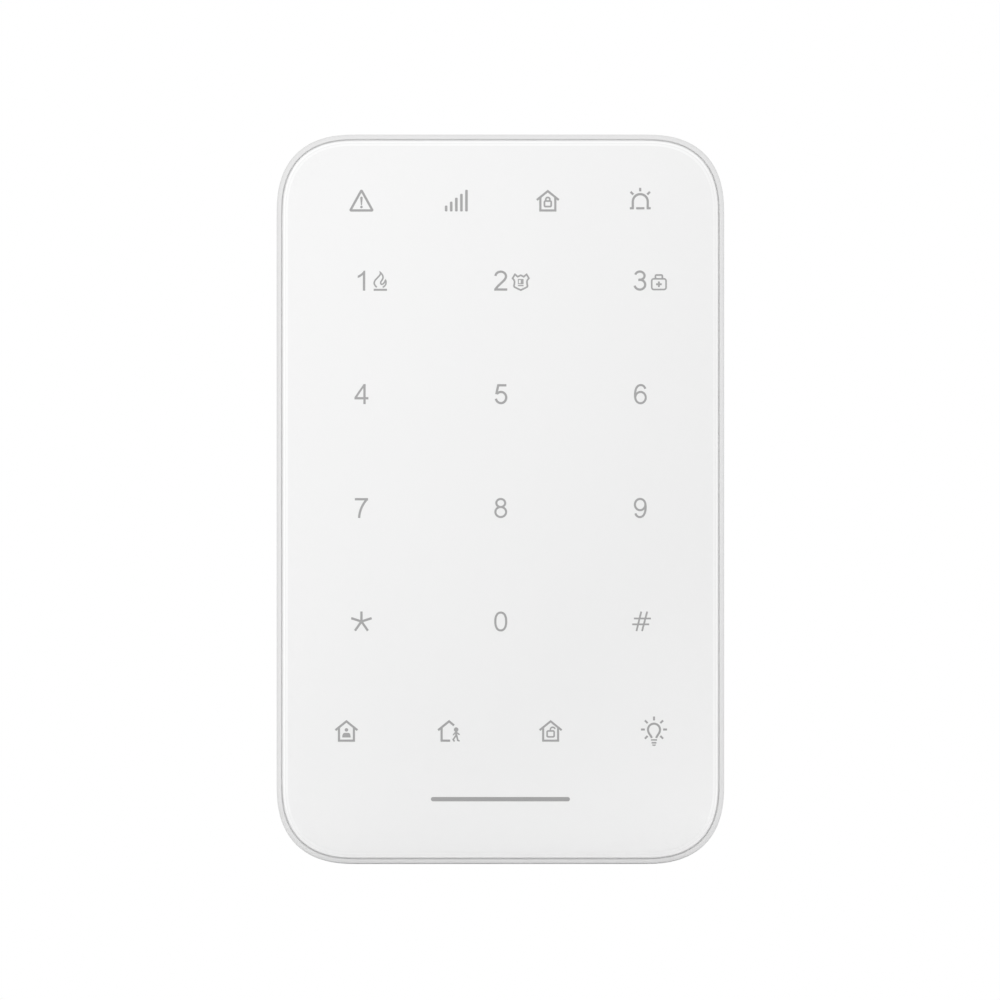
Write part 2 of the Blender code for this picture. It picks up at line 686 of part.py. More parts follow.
def make_radio_can(body):
    half_x, half_z = CAN_HALF
    corner = CAN_HEIGHT / 2
    shape = bmesh.new()
    full = rounded_rectangle(-half_x, half_x, -half_z, half_z, corner)
    small = rounded_rectangle(
        -half_x + corner / 3, half_x - corner / 3, -half_z + corner / 3, half_z - corner / 3, corner * 2 / 3
    )
    loft(shape, [layer(full, 0), layer(full, -CAN_HEIGHT + corner / 3), layer(small, -CAN_HEIGHT)])
    piece("radio_can", mesh_of("radio_can", shape), "can_tin", body, at(CAN_X, BOARD_BACK - SOLDER, CAN_Z))


def make_antenna(body):
    shape = bmesh.new()
    coil(shape, ANTENNA_RADIUS, ANTENNA_RADIUS, ANTENNA_LENGTH, ANTENNA_TURNS, ANTENNA_WIRE)
    depth = BOARD_BACK - SOLDER - ANTENNA_RADIUS - ANTENNA_WIRE
    place = at(ANTENNA_X - ANTENNA_LENGTH / 2, depth, ANTENNA_Z)
    piece("antenna", mesh_of("antenna", shape), "copper", body, place, (0, math.radians(90), 0))


def make_buzzer(body):
    edge = BUZZER_RADIUS / 10
    profile = [
        (BUZZER_RADIUS, 0),
        (BUZZER_RADIUS, -BUZZER_HEIGHT + edge),
        (BUZZER_RADIUS - edge, -BUZZER_HEIGHT),
        (BUZZER_HOLE_RADIUS, -BUZZER_HEIGHT),
        (BUZZER_HOLE_RADIUS, -BUZZER_HEIGHT + BUZZER_HOLE_DEPTH),
    ]
    shape = bmesh.new()
    turned(shape, profile, ROUND_SIDES, True)
    place = at(BUZZER_X, BOARD_BACK - SOLDER, BUZZER_Z)
    piece("buzzer", mesh_of("buzzer", shape), "buzzer_black", body, place)


# ---- Rear housing ----


def housing_screw_depth():
    """Depth of the seat under a housing screw's head."""
    return SHELL_BACK + COUNTERBORE_DEPTH - GAP


def rear_shell_rings():
    taper = BACK_TAPER
    floor = REAR_FLOOR
    lip_inset = LAP_DEPTH + GAP
    inner = lip_inset + LIP_THICKNESS
    run = PART_LINE - SHELL_BACK
    return [
        layer(squircle(taper), SHELL_BACK),
        layer(squircle(taper * 0.62), SHELL_BACK + run * 0.05),
        layer(squircle(taper * 0.36), SHELL_BACK + run * 0.2),
        layer(squircle(taper * 0.14), SHELL_BACK + run * 0.5),
        layer(squircle(0), PART_LINE),
        layer(squircle(lip_inset), PART_LINE),
        layer(squircle(lip_inset), PART_LINE + LAP_HEIGHT),
        layer(squircle(inner), PART_LINE + LAP_HEIGHT),
        layer(squircle(inner), floor + INNER_TAPER),
        layer(squircle(inner + INNER_TAPER), floor),
    ]


def rear_blocks():
    """Everything that stands on the inside of the rear housing's floor, before it is hollowed."""
    shape = bmesh.new()
    root = REAR_FLOOR - EMBED
    side = BAY_HALF_X + BAY_WALL
    block(shape, -side, side, root, BAY_SKIN, BAY_BOTTOM, BAY_TOP)
    for x, z in corners(BOSS_X, BOSS_Z):
        prism(shape, circle(x, z, POST_RADIUS), root, POST_TOP)
    prism(shape, circle(TAMPER_X, TAMPER_Z, GUIDE_RADIUS), root, REAR_FLOOR + GUIDE_HEIGHT)
    half_x = POCKET_HALF[0] + POCKET_WALL
    half_z = POCKET_HALF[1] + POCKET_WALL
    pocket_front = POCKET_FLOOR + POCKET_WALL
    block(
        shape, SWITCH_X - half_x, SWITCH_X + half_x, root, pocket_front, SWITCH_Z - half_z, SWITCH_Z + half_z
    )
    half_x = BLOCK_HALF_WIDTH + GAP + NOTCH_WALL
    top = BLOCK_TOP + GAP + NOTCH_WALL
    wall_face = -HALF_HEIGHT + LAP_DEPTH + GAP + LIP_THICKNESS
    block(shape, -half_x, half_x, root, BLOCK_FRONT + GAP + NOTCH_WALL, wall_face - EMBED, top)
    return shape


def security_boss():
    shape = bmesh.new()
    base = BLOCK_TOP + GAP + NOTCH_WALL
    half = SECURITY_BOSS_HALF
    front = SECURITY_DEPTH + half
    top = SECURITY_BORE_END + SECURITY_END_WALL
    block(shape, -half, half, REAR_FLOOR - EMBED, front, base - EMBED, top)
    return shape


def rear_hollows():
    """The battery bay, the switch pocket and the security notch."""
    shape = bmesh.new()
    outside = SHELL_BACK - OVERRUN
    block(shape, -BAY_HALF_X, BAY_HALF_X, outside, BAY_FLOOR, BAY_Z - BAY_HALF_Z, BAY_Z + BAY_HALF_Z)
    half_x, half_z = POCKET_HALF
    z0 = SWITCH_Z - half_z
    z1 = SWITCH_Z + half_z
    block(shape, SWITCH_X - half_x, SWITCH_X + half_x, outside, POCKET_FLOOR, z0, z1)
    half_x = BLOCK_HALF_WIDTH + GAP
    block(shape, -half_x, half_x, outside, BLOCK_FRONT + GAP, -HALF_HEIGHT - OVERRUN, BLOCK_TOP + GAP)
    return shape


def cell_ribs():
    """Low ribs on the bay's floor, between the cells."""
    shape = bmesh.new()
    end = BAY_HALF_Z - CONTACT_THICKNESS - 2 * GAP - SPRING_HEIGHT
    for place in (-1, 0, 1):
        x = place * CELL_PITCH
        half = RIB_WIDTH / 2
        foot = BAY_FLOOR + EMBED
        block(shape, x - half, x + half, BAY_FLOOR - RIB_HEIGHT, foot, BAY_Z - end, BAY_Z + end)
    return shape


def rear_holes():
    """Hook windows, screw holes, sound slots and holes for the plunger, the knob and the contact tails."""
    shape = bmesh.new()
    outside = SHELL_BACK - OVERRUN
    half = HOOK_WIDTH / 2 + HOOK_SIDE_GAP
    for neck_top in (TOP_HOOK, LOW_HOOK):
        bottom = neck_top - HOOK_NECK - TRAVEL - GAP
        for x in (-HOOK_X, HOOK_X):
            block(shape, x - half, x + half, outside, REAR_FLOOR + OVERRUN, bottom, neck_top + GAP)
    radii = (HOUSING_HEAD_RADIUS + HEAD_CLEARANCE, HOUSING_SHANK_RADIUS + SCREW_CLEARANCE)
    for x, z in corners(BOSS_X, BOSS_Z):
        stepped_hole(shape, x, z, radii, (outside, SHELL_BACK + COUNTERBORE_DEPTH, POST_TOP + OVERRUN))
    for i in range(SOUND_SLOTS):
        x = BUZZER_X + (i - (SOUND_SLOTS - 1) / 2) * SOUND_SLOT_PITCH
        half = SOUND_SLOT_WIDTH / 2
        length = SOUND_SLOT_LENGTH / 2
        block(shape, x - half, x + half, outside, REAR_FLOOR + OVERRUN, BUZZER_Z - length, BUZZER_Z + length)
    radii = (PLUNGER_TIP_RADIUS + GUIDE_CLEARANCE, FLANGE_RADIUS + GUIDE_CLEARANCE)
    depths = (outside, REAR_FLOOR, REAR_FLOOR + GUIDE_HEIGHT + OVERRUN)
    stepped_hole(shape, TAMPER_X, TAMPER_Z, radii, depths)
    half_x = KNOB_HALF[0] + RUN_CLEARANCE
    half_z = KNOB_HALF[1] + SWITCH_TRAVEL / 2 + RUN_CLEARANCE
    slot_front = POCKET_FLOOR + POCKET_WALL + OVERRUN
    block(
        shape,
        SWITCH_X - half_x,
        SWITCH_X + half_x,
        POCKET_FLOOR - OVERRUN,
        slot_front,
        SWITCH_Z - half_z,
        SWITCH_Z + half_z,
    )
    half = TAIL_WIDTH / 2 + GAP
    foot = BAY_Z - BAY_HALF_Z
    top = foot + CONTACT_THICKNESS + 2 * GAP
    for x in (-1.5 * CELL_PITCH, 1.5 * CELL_PITCH):
        block(shape, x - half, x + half, BAY_FLOOR - GAP, BAY_SKIN + GAP, foot, top)
    bore = [(x, SECURITY_DEPTH + depth) for x, depth in screw_circle()]
    upright(shape, bore, BLOCK_TOP, SECURITY_BORE_END)
    return shape


def screw_circle():
    return circle(0, 0, SECURITY_SHANK_RADIUS + SCREW_CLEARANCE, SMALL_SIDES)


def make_rear_housing(body):
    shape = bmesh.new()
    loft(shape, rear_shell_rings())
    housing = piece("rear_housing", mesh_of("rear_housing", shape), "case_white", body)
    join(housing, rear_blocks(), "blocks")
    join(housing, security_boss(), "security_boss")
    cut(housing, rear_hollows(), "hollows")
    join(housing, cell_ribs(), "cell_ribs")
    cut(housing, rear_holes(), "holes")


# ---- Batteries ----


def cell_places():
    """The x of each cell and whether its positive end is up."""
    return [(place * CELL_PITCH, number % 2 == 0) for number, place in enumerate((-1.5, -0.5, 0.5, 1.5))]


def make_cells(body):
    """Four cells side by side, turned end for end by turns. The spring takes the room at the flat end."""
    half = CELL_LENGTH / 2
    edge = CELL_RADIUS / 10
    profile = [
        (CELL_RADIUS - 2 * edge, -half),
        (CELL_RADIUS, -half + edge),
        (CELL_RADIUS, half - NUB_HEIGHT - edge),
        (CELL_RADIUS - 2 * edge, half - NUB_HEIGHT),
        (NUB_RADIUS, half - NUB_HEIGHT),
        (NUB_RADIUS, half),
    ]
    shape = bmesh.new()
    turned(shape, profile, ROUND_SIDES, False)
    mesh = mesh_of("cell", shape)
    shift = (SPRING_HEIGHT + GAP) / 2
    for number, (x, positive_up) in enumerate(cell_places(), 1):
        place = at(x, CELL_DEPTH, BAY_Z + (shift if positive_up else -shift))
        turn = None if positive_up else (math.pi, 0, 0)
        piece(f"battery_cell_{number}", mesh, "cell_jacket", body, place, turn)


def make_battery_springs(body):
    shape = bmesh.new()
    coil(shape, SPRING_FOOT_RADIUS, SPRING_TIP_RADIUS, SPRING_HEIGHT, SPRING_TURNS, SPRING_WIRE)
    mesh = mesh_of("battery_spring", shape)
    foot = BAY_HALF_Z - CONTACT_THICKNESS - 2 * GAP
    for number, (x, positive_up) in enumerate(cell_places(), 1):
        place = at(x, CELL_DEPTH, BAY_Z - foot if positive_up else BAY_Z + foot)
        turn = None if positive_up else (math.pi, 0, 0)
        piece(f"battery_spring_{number}", mesh, "spring_steel", body, place, turn)


def make_contact(name, half_x, x, z, with_tail, body):
    """A flat spring-metal plate against the end of the bay. A terminal's tail reaches the board."""
    back = SHELL_BACK + CONTACT_TRIM
    front = BAY_FLOOR - GAP
    tail = TAIL_WIDTH / 2
    outline = [(half_x, back), (half_x, front)]
    if with_tail:
        tip = BOARD_BACK - SOLDER
        outline += [(tail, front), (tail, tip), (-tail, tip), (-tail, front)]
    outline += [(-half_x, front), (-half_x, back)]
    shape = bmesh.new()
    upright(shape, outline, 0, CONTACT_THICKNESS)
    piece(name, mesh_of(name, shape), "nickel", body, Vector((x, 0, z)))


def make_contacts(body):
    single = CONTACT_WIDTH / 2
    double = (CELL_PITCH + CONTACT_WIDTH) / 2
    low = BAY_Z - BAY_HALF_Z + GAP
    high = BAY_Z + BAY_HALF_Z - GAP - CONTACT_THICKNESS
    make_contact("terminal_negative", single, -1.5 * CELL_PITCH, low, True, body)
    make_contact("terminal_positive", single, 1.5 * CELL_PITCH, low, True, body)
    make_contact("contact_link_low", double, 0, low, False, body)
    make_contact("contact_link_left", double, -CELL_PITCH, high, False, body)
    make_contact("contact_link_right", double, CELL_PITCH, high, False, body)


# ---- Screws ----


def screw_mesh(name, head_radius, head_height, shank_radius, shank_length, forward):
    """A pan-head screw with a cross recess. Its origin is under the head and its shank runs away from it."""
    dome = head_height / 3
    tip = shank_radius / 2
    profile = [
        (head_radius * 0.75, -head_height),
        (head_radius, -head_height + dome),
        (head_radius, 0),
        (shank_radius, 0),
        (shank_radius, shank_length - tip),
        (tip, shank_length),
    ]
    shape = bmesh.new()
    turned(shape, profile, SMALL_SIDES, True)
    blank = bpy.data.objects.new(name, mesh_of(name, shape))
    bpy.context.scene.collection.objects.link(blank)
    cross = bmesh.new()
    half = CROSS_WIDTH / 2
    arm = head_radius * 0.6
    outline = []
    for quarter in range(4):
        turn = Matrix.Rotation(math.radians(90 * quarter), 2)
        for point in ((half, half), (half, arm), (-half, arm)):
            outline.append(tuple(turn @ Vector(point)))
    prism(cross, outline, -head_height - OVERRUN, -head_height + CROSS_DEPTH)
    cut(blank, cross, "cross")
    graph = bpy.context.evaluated_depsgraph_get()
    mesh = bpy.data.meshes.new_from_object(blank.evaluated_get(graph))
    mesh.name = name
    if not forward:
        mesh.transform(Matrix.Rotation(math.radians(-90), 4, "X"))
    for helper in list(blank.children) + [blank]:
        bpy.data.objects.remove(helper)
    return mesh


def make_housing_screws(body):
    mesh = screw_mesh(
        "housing_screw",
        HOUSING_HEAD_RADIUS,
        HOUSING_HEAD_HEIGHT,
        HOUSING_SHANK_RADIUS,
        HOUSING_SHANK_LENGTH,
        True,
    )
    for number, (x, z) in enumerate(corners(BOSS_X, BOSS_Z), 1):
        piece(f"housing_screw_{number}", mesh, "zinc", body, at(x, housing_screw_depth(), z))


def make_board_screws(body):
    mesh = screw_mesh(
        "board_screw", BOARD_HEAD_RADIUS, BOARD_HEAD_HEIGHT, BOARD_SHANK_RADIUS, BOARD_SHANK_LENGTH, True
    )
    for number, z in enumerate(BOARD_SCREWS, 1):
        piece(f"board_screw_{number}", mesh, "zinc", body, at(0, BOARD_BACK - GAP, z))


def make_security_screw(body):
    mesh = screw_mesh(
        "security_screw",
        SECURITY_HEAD_RADIUS,
        SECURITY_HEAD_HEIGHT,
        SECURITY_SHANK_RADIUS,
        SECURITY_SHANK_LENGTH,
        False,
    )
    place = at(0, SECURITY_DEPTH, SECURITY_SEAT)
    piece("security_screw", mesh, "zinc", body, place)


# ---- Tamper plunger and its switch ----


def make_tamper_plunger(body):
    """The plunger's tip is at the rear housing's back face when the bracket presses it in."""
    flange_front = PLUNGER_FLANGE + FLANGE_THICKNESS - SHELL_BACK
    flange_back = PLUNGER_FLANGE - SHELL_BACK
    stem_end = TAMPER_SWITCH_BACK - TAMPER_BUTTON_HEIGHT - GAP - SHELL_BACK
    profile = [
        (PLUNGER_TIP_RADIUS * 0.4, 0),
        (PLUNGER_TIP_RADIUS * 0.8, PLUNGER_TIP_ROUND * 0.4),
        (PLUNGER_TIP_RADIUS, PLUNGER_TIP_ROUND),
        (PLUNGER_TIP_RADIUS, flange_back),
        (FLANGE_RADIUS, flange_back),
        (FLANGE_RADIUS, flange_front),
        (STEM_RADIUS, flange_front),
        (STEM_RADIUS, stem_end),
    ]
    shape = bmesh.new()
    turned(shape, profile, ROUND_SIDES, True)
    place = at(TAMPER_X, SHELL_BACK, TAMPER_Z)
    piece("tamper_plunger", mesh_of("tamper_plunger", shape), "plunger_grey", body, place)


def make_tamper_spring(body):
    foot = PLUNGER_FLANGE + FLANGE_THICKNESS + GAP
    shape = bmesh.new()
    height = TAMPER_SWITCH_BACK - GAP - foot
    coil(shape, TAMPER_COIL_RADIUS, TAMPER_COIL_RADIUS, height, TAMPER_TURNS, TAMPER_WIRE)
    place = at(TAMPER_X, foot, TAMPER_Z)
    turn = (math.radians(90), 0, 0)
    piece("tamper_spring", mesh_of("tamper_spring", shape), "spring_steel", body, place, turn)


def make_tamper_switch(body):
    half = TAMPER_SWITCH_HALF
    shape = bmesh.new()
    prism(shape, rectangle(-half, half, -half, half), -TAMPER_SWITCH_HEIGHT, 0)
    place = at(TAMPER_X, BOARD_BACK - SOLDER, TAMPER_Z)
    switch = piece("tamper_switch", mesh_of("tamper_switch", shape), "switch_black", body, place)
    button = bmesh.new()
    outline = circle(0, 0, TAMPER_BUTTON_RADIUS, SMALL_SIDES)
    prism(button, outline, -TAMPER_SWITCH_HEIGHT - TAMPER_BUTTON_HEIGHT, -TAMPER_SWITCH_HEIGHT + EMBED)
    join(switch, button, "button")


# ---- Power switch ----


def make_power_switch_body(body):
    half_x, half_z = SWITCH_HALF
    back = POCKET_FLOOR + POCKET_WALL + GAP
    shape = bmesh.new()
    block(shape, -half_x, half_x, back, BOARD_BACK - SOLDER, -half_z, half_z)
    place = Vector((SWITCH_X, 0, SWITCH_Z))
    switch = piece("power_switch_body", mesh_of("power_switch_body", shape), "switch_black", body, place)
    slot = bmesh.new()
    half_x = KNOB_HALF[0] + RUN_CLEARANCE
    half_z = KNOB_HALF[1] + SWITCH_TRAVEL / 2 + RUN_CLEARANCE
    block(slot, -half_x, half_x, back - OVERRUN, back + SWITCH_SLOT_DEPTH, -half_z, half_z)
    cut(switch, slot, "slider_slot")


def make_power_switch_slider(body):
    """The knob rests at the lower end of its slot, which is on."""
    half_x, half_z = KNOB_HALF
    front = POCKET_FLOOR + POCKET_WALL + GAP + SWITCH_SLOT_DEPTH - GAP
    waist = half_z * 0.7
    shape = bmesh.new()
    rings = [
        layer(rectangle(-half_x, half_x, -waist, waist), KNOB_BACK),
        layer(rectangle(-half_x, half_x, -half_z, half_z), KNOB_BACK + half_z / 2),
        layer(rectangle(-half_x, half_x, -half_z, half_z), front),
    ]
    loft(shape, rings)
    place = Vector((SWITCH_X, 0, SWITCH_Z - SWITCH_TRAVEL / 2))
    piece("power_switch_slider", mesh_of("power_switch_slider", shape), "knob_grey", body, place)


# ---- Wall bracket ----


def plate_additions():
    """The four hooks and the security block."""
    shape = bmesh.new()
    root = PLATE_THICKNESS - EMBED
    for neck_top in (TOP_HOOK, LOW_HOOK):
        neck_bottom = neck_top - HOOK_NECK
        outline = [
            (root, neck_bottom),
            (FINGER_FRONT, neck_bottom),
            (FINGER_FRONT, neck_top + HOOK_RISE),
            (FINGER_FRONT - HOOK_THICKNESS / 2, neck_top + HOOK_RISE),
            (FINGER_BACK, neck_top + HOOK_RISE - HOOK_THICKNESS),
            (FINGER_BACK, neck_top),
            (root, neck_top),
        ]
        for x in (-HOOK_X, HOOK_X):
            across(shape, outline, x - HOOK_WIDTH / 2, x + HOOK_WIDTH / 2)
    block(shape, -BLOCK_HALF_WIDTH, BLOCK_HALF_WIDTH, root, BLOCK_FRONT, BLOCK_BOTTOM, BLOCK_TOP)
    return shape


def trough():
    """A ramp that lets the plunger out as the keypad slides up."""
    low = PLATE_THICKNESS - PLUNGER_TRAVEL
    over = PLATE_THICKNESS + OVERRUN
    outline = [
        (PLATE_THICKNESS, TAMPER_Z),
        (low, TAMPER_Z + TRAVEL),
        (low, TROUGH_TOP),
        (over, TROUGH_TOP),
        (over, TAMPER_Z),
    ]
    shape = bmesh.new()
    across(shape, outline, TAMPER_X - TROUGH_HALF, TAMPER_X + TROUGH_HALF)
    return shape


def plate_holes():
    """Slots for the wall screws, the breakaway slits round the trough, and the security screw's bore."""
    shape = bmesh.new()
    for x, z in corners(SLOT_X, SLOT_Z):
        add_screw_slot(shape, x, z, SLOT_LENGTH)
    add_screw_slot(shape, TAMPER_X, TAB_HOLE, 2 * SLOT_RADIUS)

    inner = TROUGH_HALF + TAB_SIDE
    outer = inner + TAB_SLIT
    low = TAMPER_Z - TAB_BRIDGE - TAB_SLIT
    back, front = -OVERRUN, PLATE_THICKNESS + OVERRUN
    for side in (-1, 1):
        x0, x1 = sorted((TAMPER_X + side * inner, TAMPER_X + side * outer))
        block(shape, x0, x1, back, front, low + TAB_BRIDGE, TAB_HOLE)
    half = inner - TAB_BRIDGE / 2
    block(shape, TAMPER_X - half, TAMPER_X + half, back, front, low - TAB_SLIT, low)
    return shape


def add_screw_slot(shape, x, z, length):
    """A slot through the plate, with a wider recess for the screw's head on its front."""
    extra = 2 * (HEAD_SLOT_RADIUS - SLOT_RADIUS)
    through = slot_outline(x, z, SLOT_RADIUS, length)
    recess = slot_outline(x, z, HEAD_SLOT_RADIUS, length + extra)
    seat = PLATE_THICKNESS - HEAD_SLOT_DEPTH
    loft(
        shape,
        [
            layer(through, -OVERRUN),
            layer(through, seat),
            layer(recess, seat),
            layer(recess, PLATE_THICKNESS + OVERRUN),
        ],
    )


def plate_cores():
    """Recesses in the wall side, on both sides of a spine. The tamper tab's own quarter stays solid."""
    inner = CORE_SPINE / 2
    outer = HALF_WIDTH - BRACKET_INSET - CORE_EDGE
    top = SLOT_Z - HEAD_SLOT_RADIUS - CORE_RIB
    low = TAB_HOLE + HEAD_SLOT_RADIUS + CORE_RIB
    middle = (top + low) / 2
    half_rib = CORE_RIB / 2
    spans = [(-1, -top, low - CORE_RIB)]
    for side in (-1, 1):
        spans.append((side, low, middle - half_rib))
        spans.append((side, middle + half_rib, top))
    shape = bmesh.new()
    for side, z0, z1 in spans:
        x0, x1 = sorted((side * inner, side * outer))
        prism(shape, rounded_rectangle(x0, x1, z0, z1, CORE_CORNER), -OVERRUN, CORE_DEPTH)
    return shape


def security_bore():
    """The screw's bore up through the block, wider at the bottom for its head."""
    wide = circle(0, 0, SECURITY_HEAD_RADIUS + SCREW_CLEARANCE, SMALL_SIDES)
    seat = BLOCK_BOTTOM + SECURITY_RECESS
    steps = (
        (wide, BLOCK_BOTTOM - OVERRUN),
        (wide, seat),
        (screw_circle(), seat),
        (screw_circle(), BLOCK_TOP + OVERRUN),
    )
    shape = bmesh.new()
    loft(shape, [[at(x, SECURITY_DEPTH + depth, z) for x, depth in ring] for ring, z in steps])
    return shape


def make_wall_bracket(body):
    shape = bmesh.new()
    rings = [
        layer(squircle(BRACKET_INSET), 0),
        layer(squircle(BRACKET_INSET), PLATE_THICKNESS - PLATE_CHAMFER),
        layer(squircle(BRACKET_INSET + PLATE_CHAMFER), PLATE_THICKNESS),
    ]
    loft(shape, rings)
    bracket = piece("wall_bracket", mesh_of("wall_bracket", shape), "bracket_white", body)
    cut(bracket, plate_holes(), "holes")
    cut(bracket, plate_cores(), "cores")
    cut(bracket, trough(), "trough")
    join(bracket, plate_additions(), "hooks")
    cut(bracket, security_bore(), "security_bore")


def main():
    clear_scene()
    bracket = body_empty("bracket_body")
    keypad = body_empty("keypad_body", parent=bracket)
    tamper = body_empty("tamper_axis", at(TAMPER_X, SHELL_BACK, TAMPER_Z), keypad)
    power_place = at(SWITCH_X, KNOB_BACK, SWITCH_Z - SWITCH_TRAVEL / 2)
    power = body_empty("power_axis", power_place, keypad)

    make_front_panel(keypad)
    make_panel_adhesive(keypad)
    make_diffuser_film(keypad)
    make_front_housing(keypad)
    make_light_shield(keypad)
    make_main_board(keypad)
    make_lamps(keypad)
    chip_x, chip_z = CHIP_OFFSET
    make_chip("processor_chip", CHIP_HALF, CHIP_HALF, chip_x, BAY_Z + chip_z, keypad)
    chip_x, chip_z = TOUCH_CHIP_OFFSET
    make_chip("touch_chip", *TOUCH_CHIP_HALF, chip_x, BAY_Z + chip_z, keypad)
    make_radio_can(keypad)
    make_antenna(keypad)
    make_buzzer(keypad)
    make_rear_housing(keypad)
    make_cells(keypad)
    make_battery_springs(keypad)
    make_contacts(keypad)
    make_housing_screws(keypad)
    make_board_screws(keypad)
    make_tamper_spring(keypad)
    make_tamper_switch(keypad)
    make_power_switch_body(keypad)

    make_tamper_plunger(tamper)
    make_power_switch_slider(power)
    make_wall_bracket(bracket)
    make_security_screw(bracket)


main()
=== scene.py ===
"""Alarm keypad: a glossy touch panel with printed keys, moulded shells, a wall bracket and electronics."""

import json
import math

import bmesh
import bpy
from bpy.types import Operator, Panel, PropertyGroup
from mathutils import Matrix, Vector

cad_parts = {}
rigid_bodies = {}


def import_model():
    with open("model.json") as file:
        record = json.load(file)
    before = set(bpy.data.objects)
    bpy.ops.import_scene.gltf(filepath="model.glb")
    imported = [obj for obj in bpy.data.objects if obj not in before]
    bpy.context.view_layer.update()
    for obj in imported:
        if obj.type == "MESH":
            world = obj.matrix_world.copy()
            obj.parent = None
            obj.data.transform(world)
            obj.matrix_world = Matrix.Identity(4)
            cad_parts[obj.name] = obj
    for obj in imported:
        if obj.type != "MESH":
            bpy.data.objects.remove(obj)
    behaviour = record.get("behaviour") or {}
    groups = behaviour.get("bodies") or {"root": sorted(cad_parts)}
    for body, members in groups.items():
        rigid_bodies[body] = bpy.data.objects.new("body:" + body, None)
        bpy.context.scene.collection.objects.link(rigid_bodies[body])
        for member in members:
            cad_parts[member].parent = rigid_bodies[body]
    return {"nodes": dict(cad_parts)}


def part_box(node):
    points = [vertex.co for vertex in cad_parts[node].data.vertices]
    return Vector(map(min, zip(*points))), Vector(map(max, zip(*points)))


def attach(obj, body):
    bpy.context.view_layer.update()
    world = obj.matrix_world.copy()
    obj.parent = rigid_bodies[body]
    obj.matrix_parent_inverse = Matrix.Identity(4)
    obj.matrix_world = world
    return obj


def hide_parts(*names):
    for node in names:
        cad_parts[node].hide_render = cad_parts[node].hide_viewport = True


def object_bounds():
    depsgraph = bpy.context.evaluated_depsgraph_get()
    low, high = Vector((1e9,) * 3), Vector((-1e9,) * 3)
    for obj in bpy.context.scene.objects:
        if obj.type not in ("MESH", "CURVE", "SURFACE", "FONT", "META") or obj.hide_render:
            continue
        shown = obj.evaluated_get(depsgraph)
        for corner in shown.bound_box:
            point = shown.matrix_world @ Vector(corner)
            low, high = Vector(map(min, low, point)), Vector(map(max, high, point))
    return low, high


for leftover in list(bpy.data.objects):
    bpy.data.objects.remove(leftover, do_unlink=True)

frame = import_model()
CAD_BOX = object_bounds()
NODES = frame["nodes"]

bl_info = {
    "name": "Alarm Keypad",
    "version": (1, 0, 0),
    "blender": (4, 5, 0),
    "location": "View3D > Sidebar > Keypad",
    "description": "Dresses the alarm keypad's parts with their printed keys and finishes",
    "category": "Object",
}

MM = 0.001
SEAM_WITHIN = 0.002 * MM
FACE_WEIGHT = 90  # how strongly large faces lead the shading
EDGE_WEAR_AND_HIGHLIGHT = 0.5  # how strongly the edges of moulded parts are rubbed: smoother from wear, and paler partly from wear and partly as a painted highlight

PANEL_LOW, PANEL_HIGH = (Vector(corner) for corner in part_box("front_panel"))
PANEL_FACE = PANEL_LOW.y / MM
RIM_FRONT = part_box("front_housing")[0][1]

# The touch panel, in millimetres
CORNER_REACH = 15.5  # how far the corner's curve runs along each side
CORNER_POWER = 2.5
ROUND_DEPTH = 0.15  # depth of the polished edge
SHOULDER_WIDTH = 0.18
STEP_WIDTH = 0.42
FACE_RINGS = (1.0, 3.0)  # rings on the flat face, inside the polished edge
SEAL_BACK_ROUND = 0.06
SEAL_FRONT_ROUND = 0.03

# The printed marks, in millimetres. Each has its middle at a place on the panel: x to the right and z up
DIGIT_COLUMNS = (-29.19, 0.07, 29.39)
DIGIT_ROWS = (45.91, 22.08, -1.84, -25.68)
DIGITS = ("one", "two", "three", "four", "five", "six", "seven", "eight", "nine", "star", "nought", "hash")
INDICATOR_ROW = 62.72
FUNCTION_ROW = -48.65
PLACES = {
    "symbol_flame": (-25.23, 45.97),
    "symbol_badge": (4.27, 45.61),
    "symbol_first_aid": (33.29, 45.58),
    "indicator_warning": (-29.19, INDICATOR_ROW),
    "indicator_signal": (-9.26, INDICATOR_ROW),
    "indicator_locked_house": (9.96, INDICATOR_ROW),
    "indicator_siren": (29.38, INDICATOR_ROW),
    "function_stay": (-32.34, FUNCTION_ROW),
    "function_leave": (-10.78, FUNCTION_ROW),
    "function_unlock": (10.55, FUNCTION_ROW),
    "function_light": (32.26, FUNCTION_ROW - 0.08),
    "name_bar": (0.0, -63.0),
}
INK_ROOT = 0.01  # how far a mark is sunk into the panel
JOIN_WITHIN = 0.005  # points of a stroke that are nearer than this become one
FINE_SHARE = 0.92  # of the digits' stroke, for the round digits
HASH_STROKES = (0.36, 0.38)  # across and down
STAR_STROKE = 0.49
FLAME_STROKE = 0.33
SYMBOL_HEAVIER = 0.03  # added to or taken from a symbol's stroke
HOUSE_ROOF = (2.31, 0.14, 2.0)  # half width, eaves and ridge
HOUSE_WALL = (1.57, -2.06, 0.74)  # half width, floor and top
NAME_BAR_HALF_HEIGHT = 0.45

# The battery cells' print, in millimetres
SLEEVE_ENDS = (0.5, 1.7)  # bare metal at the flat end and at the end with the nub
BAND_LENGTH = 11.0
LINE_OFFSET = 11.6  # from the end with the nub to the pale line
LINE_HALF_WIDTH = 0.25

# The board's artwork, in millimetres
TRACK_PITCH = 3.4
VIA_PITCH = 4.1
ARTWORK_SIDE = 34.5
ARTWORK_ENDS = (-53.8, 66.3)

# The stage, in metres
FLOOR_GAP = 0.05 * MM
CARD_HALF = 0.16
CARD_PLACE = -0.30
LIGHT_WIDTH = 0.30
LIGHT_PLACE = (-0.20, -0.42, 0.30)
VIEW_WIDTH = 0.21005
VIEW_PLACE = (-0.000085, -0.60, -0.00016)


# Sizes and colours


def amount(name, description, value, **limits):
    return bpy.props.FloatProperty(name=name, description=description, default=value, **limits)


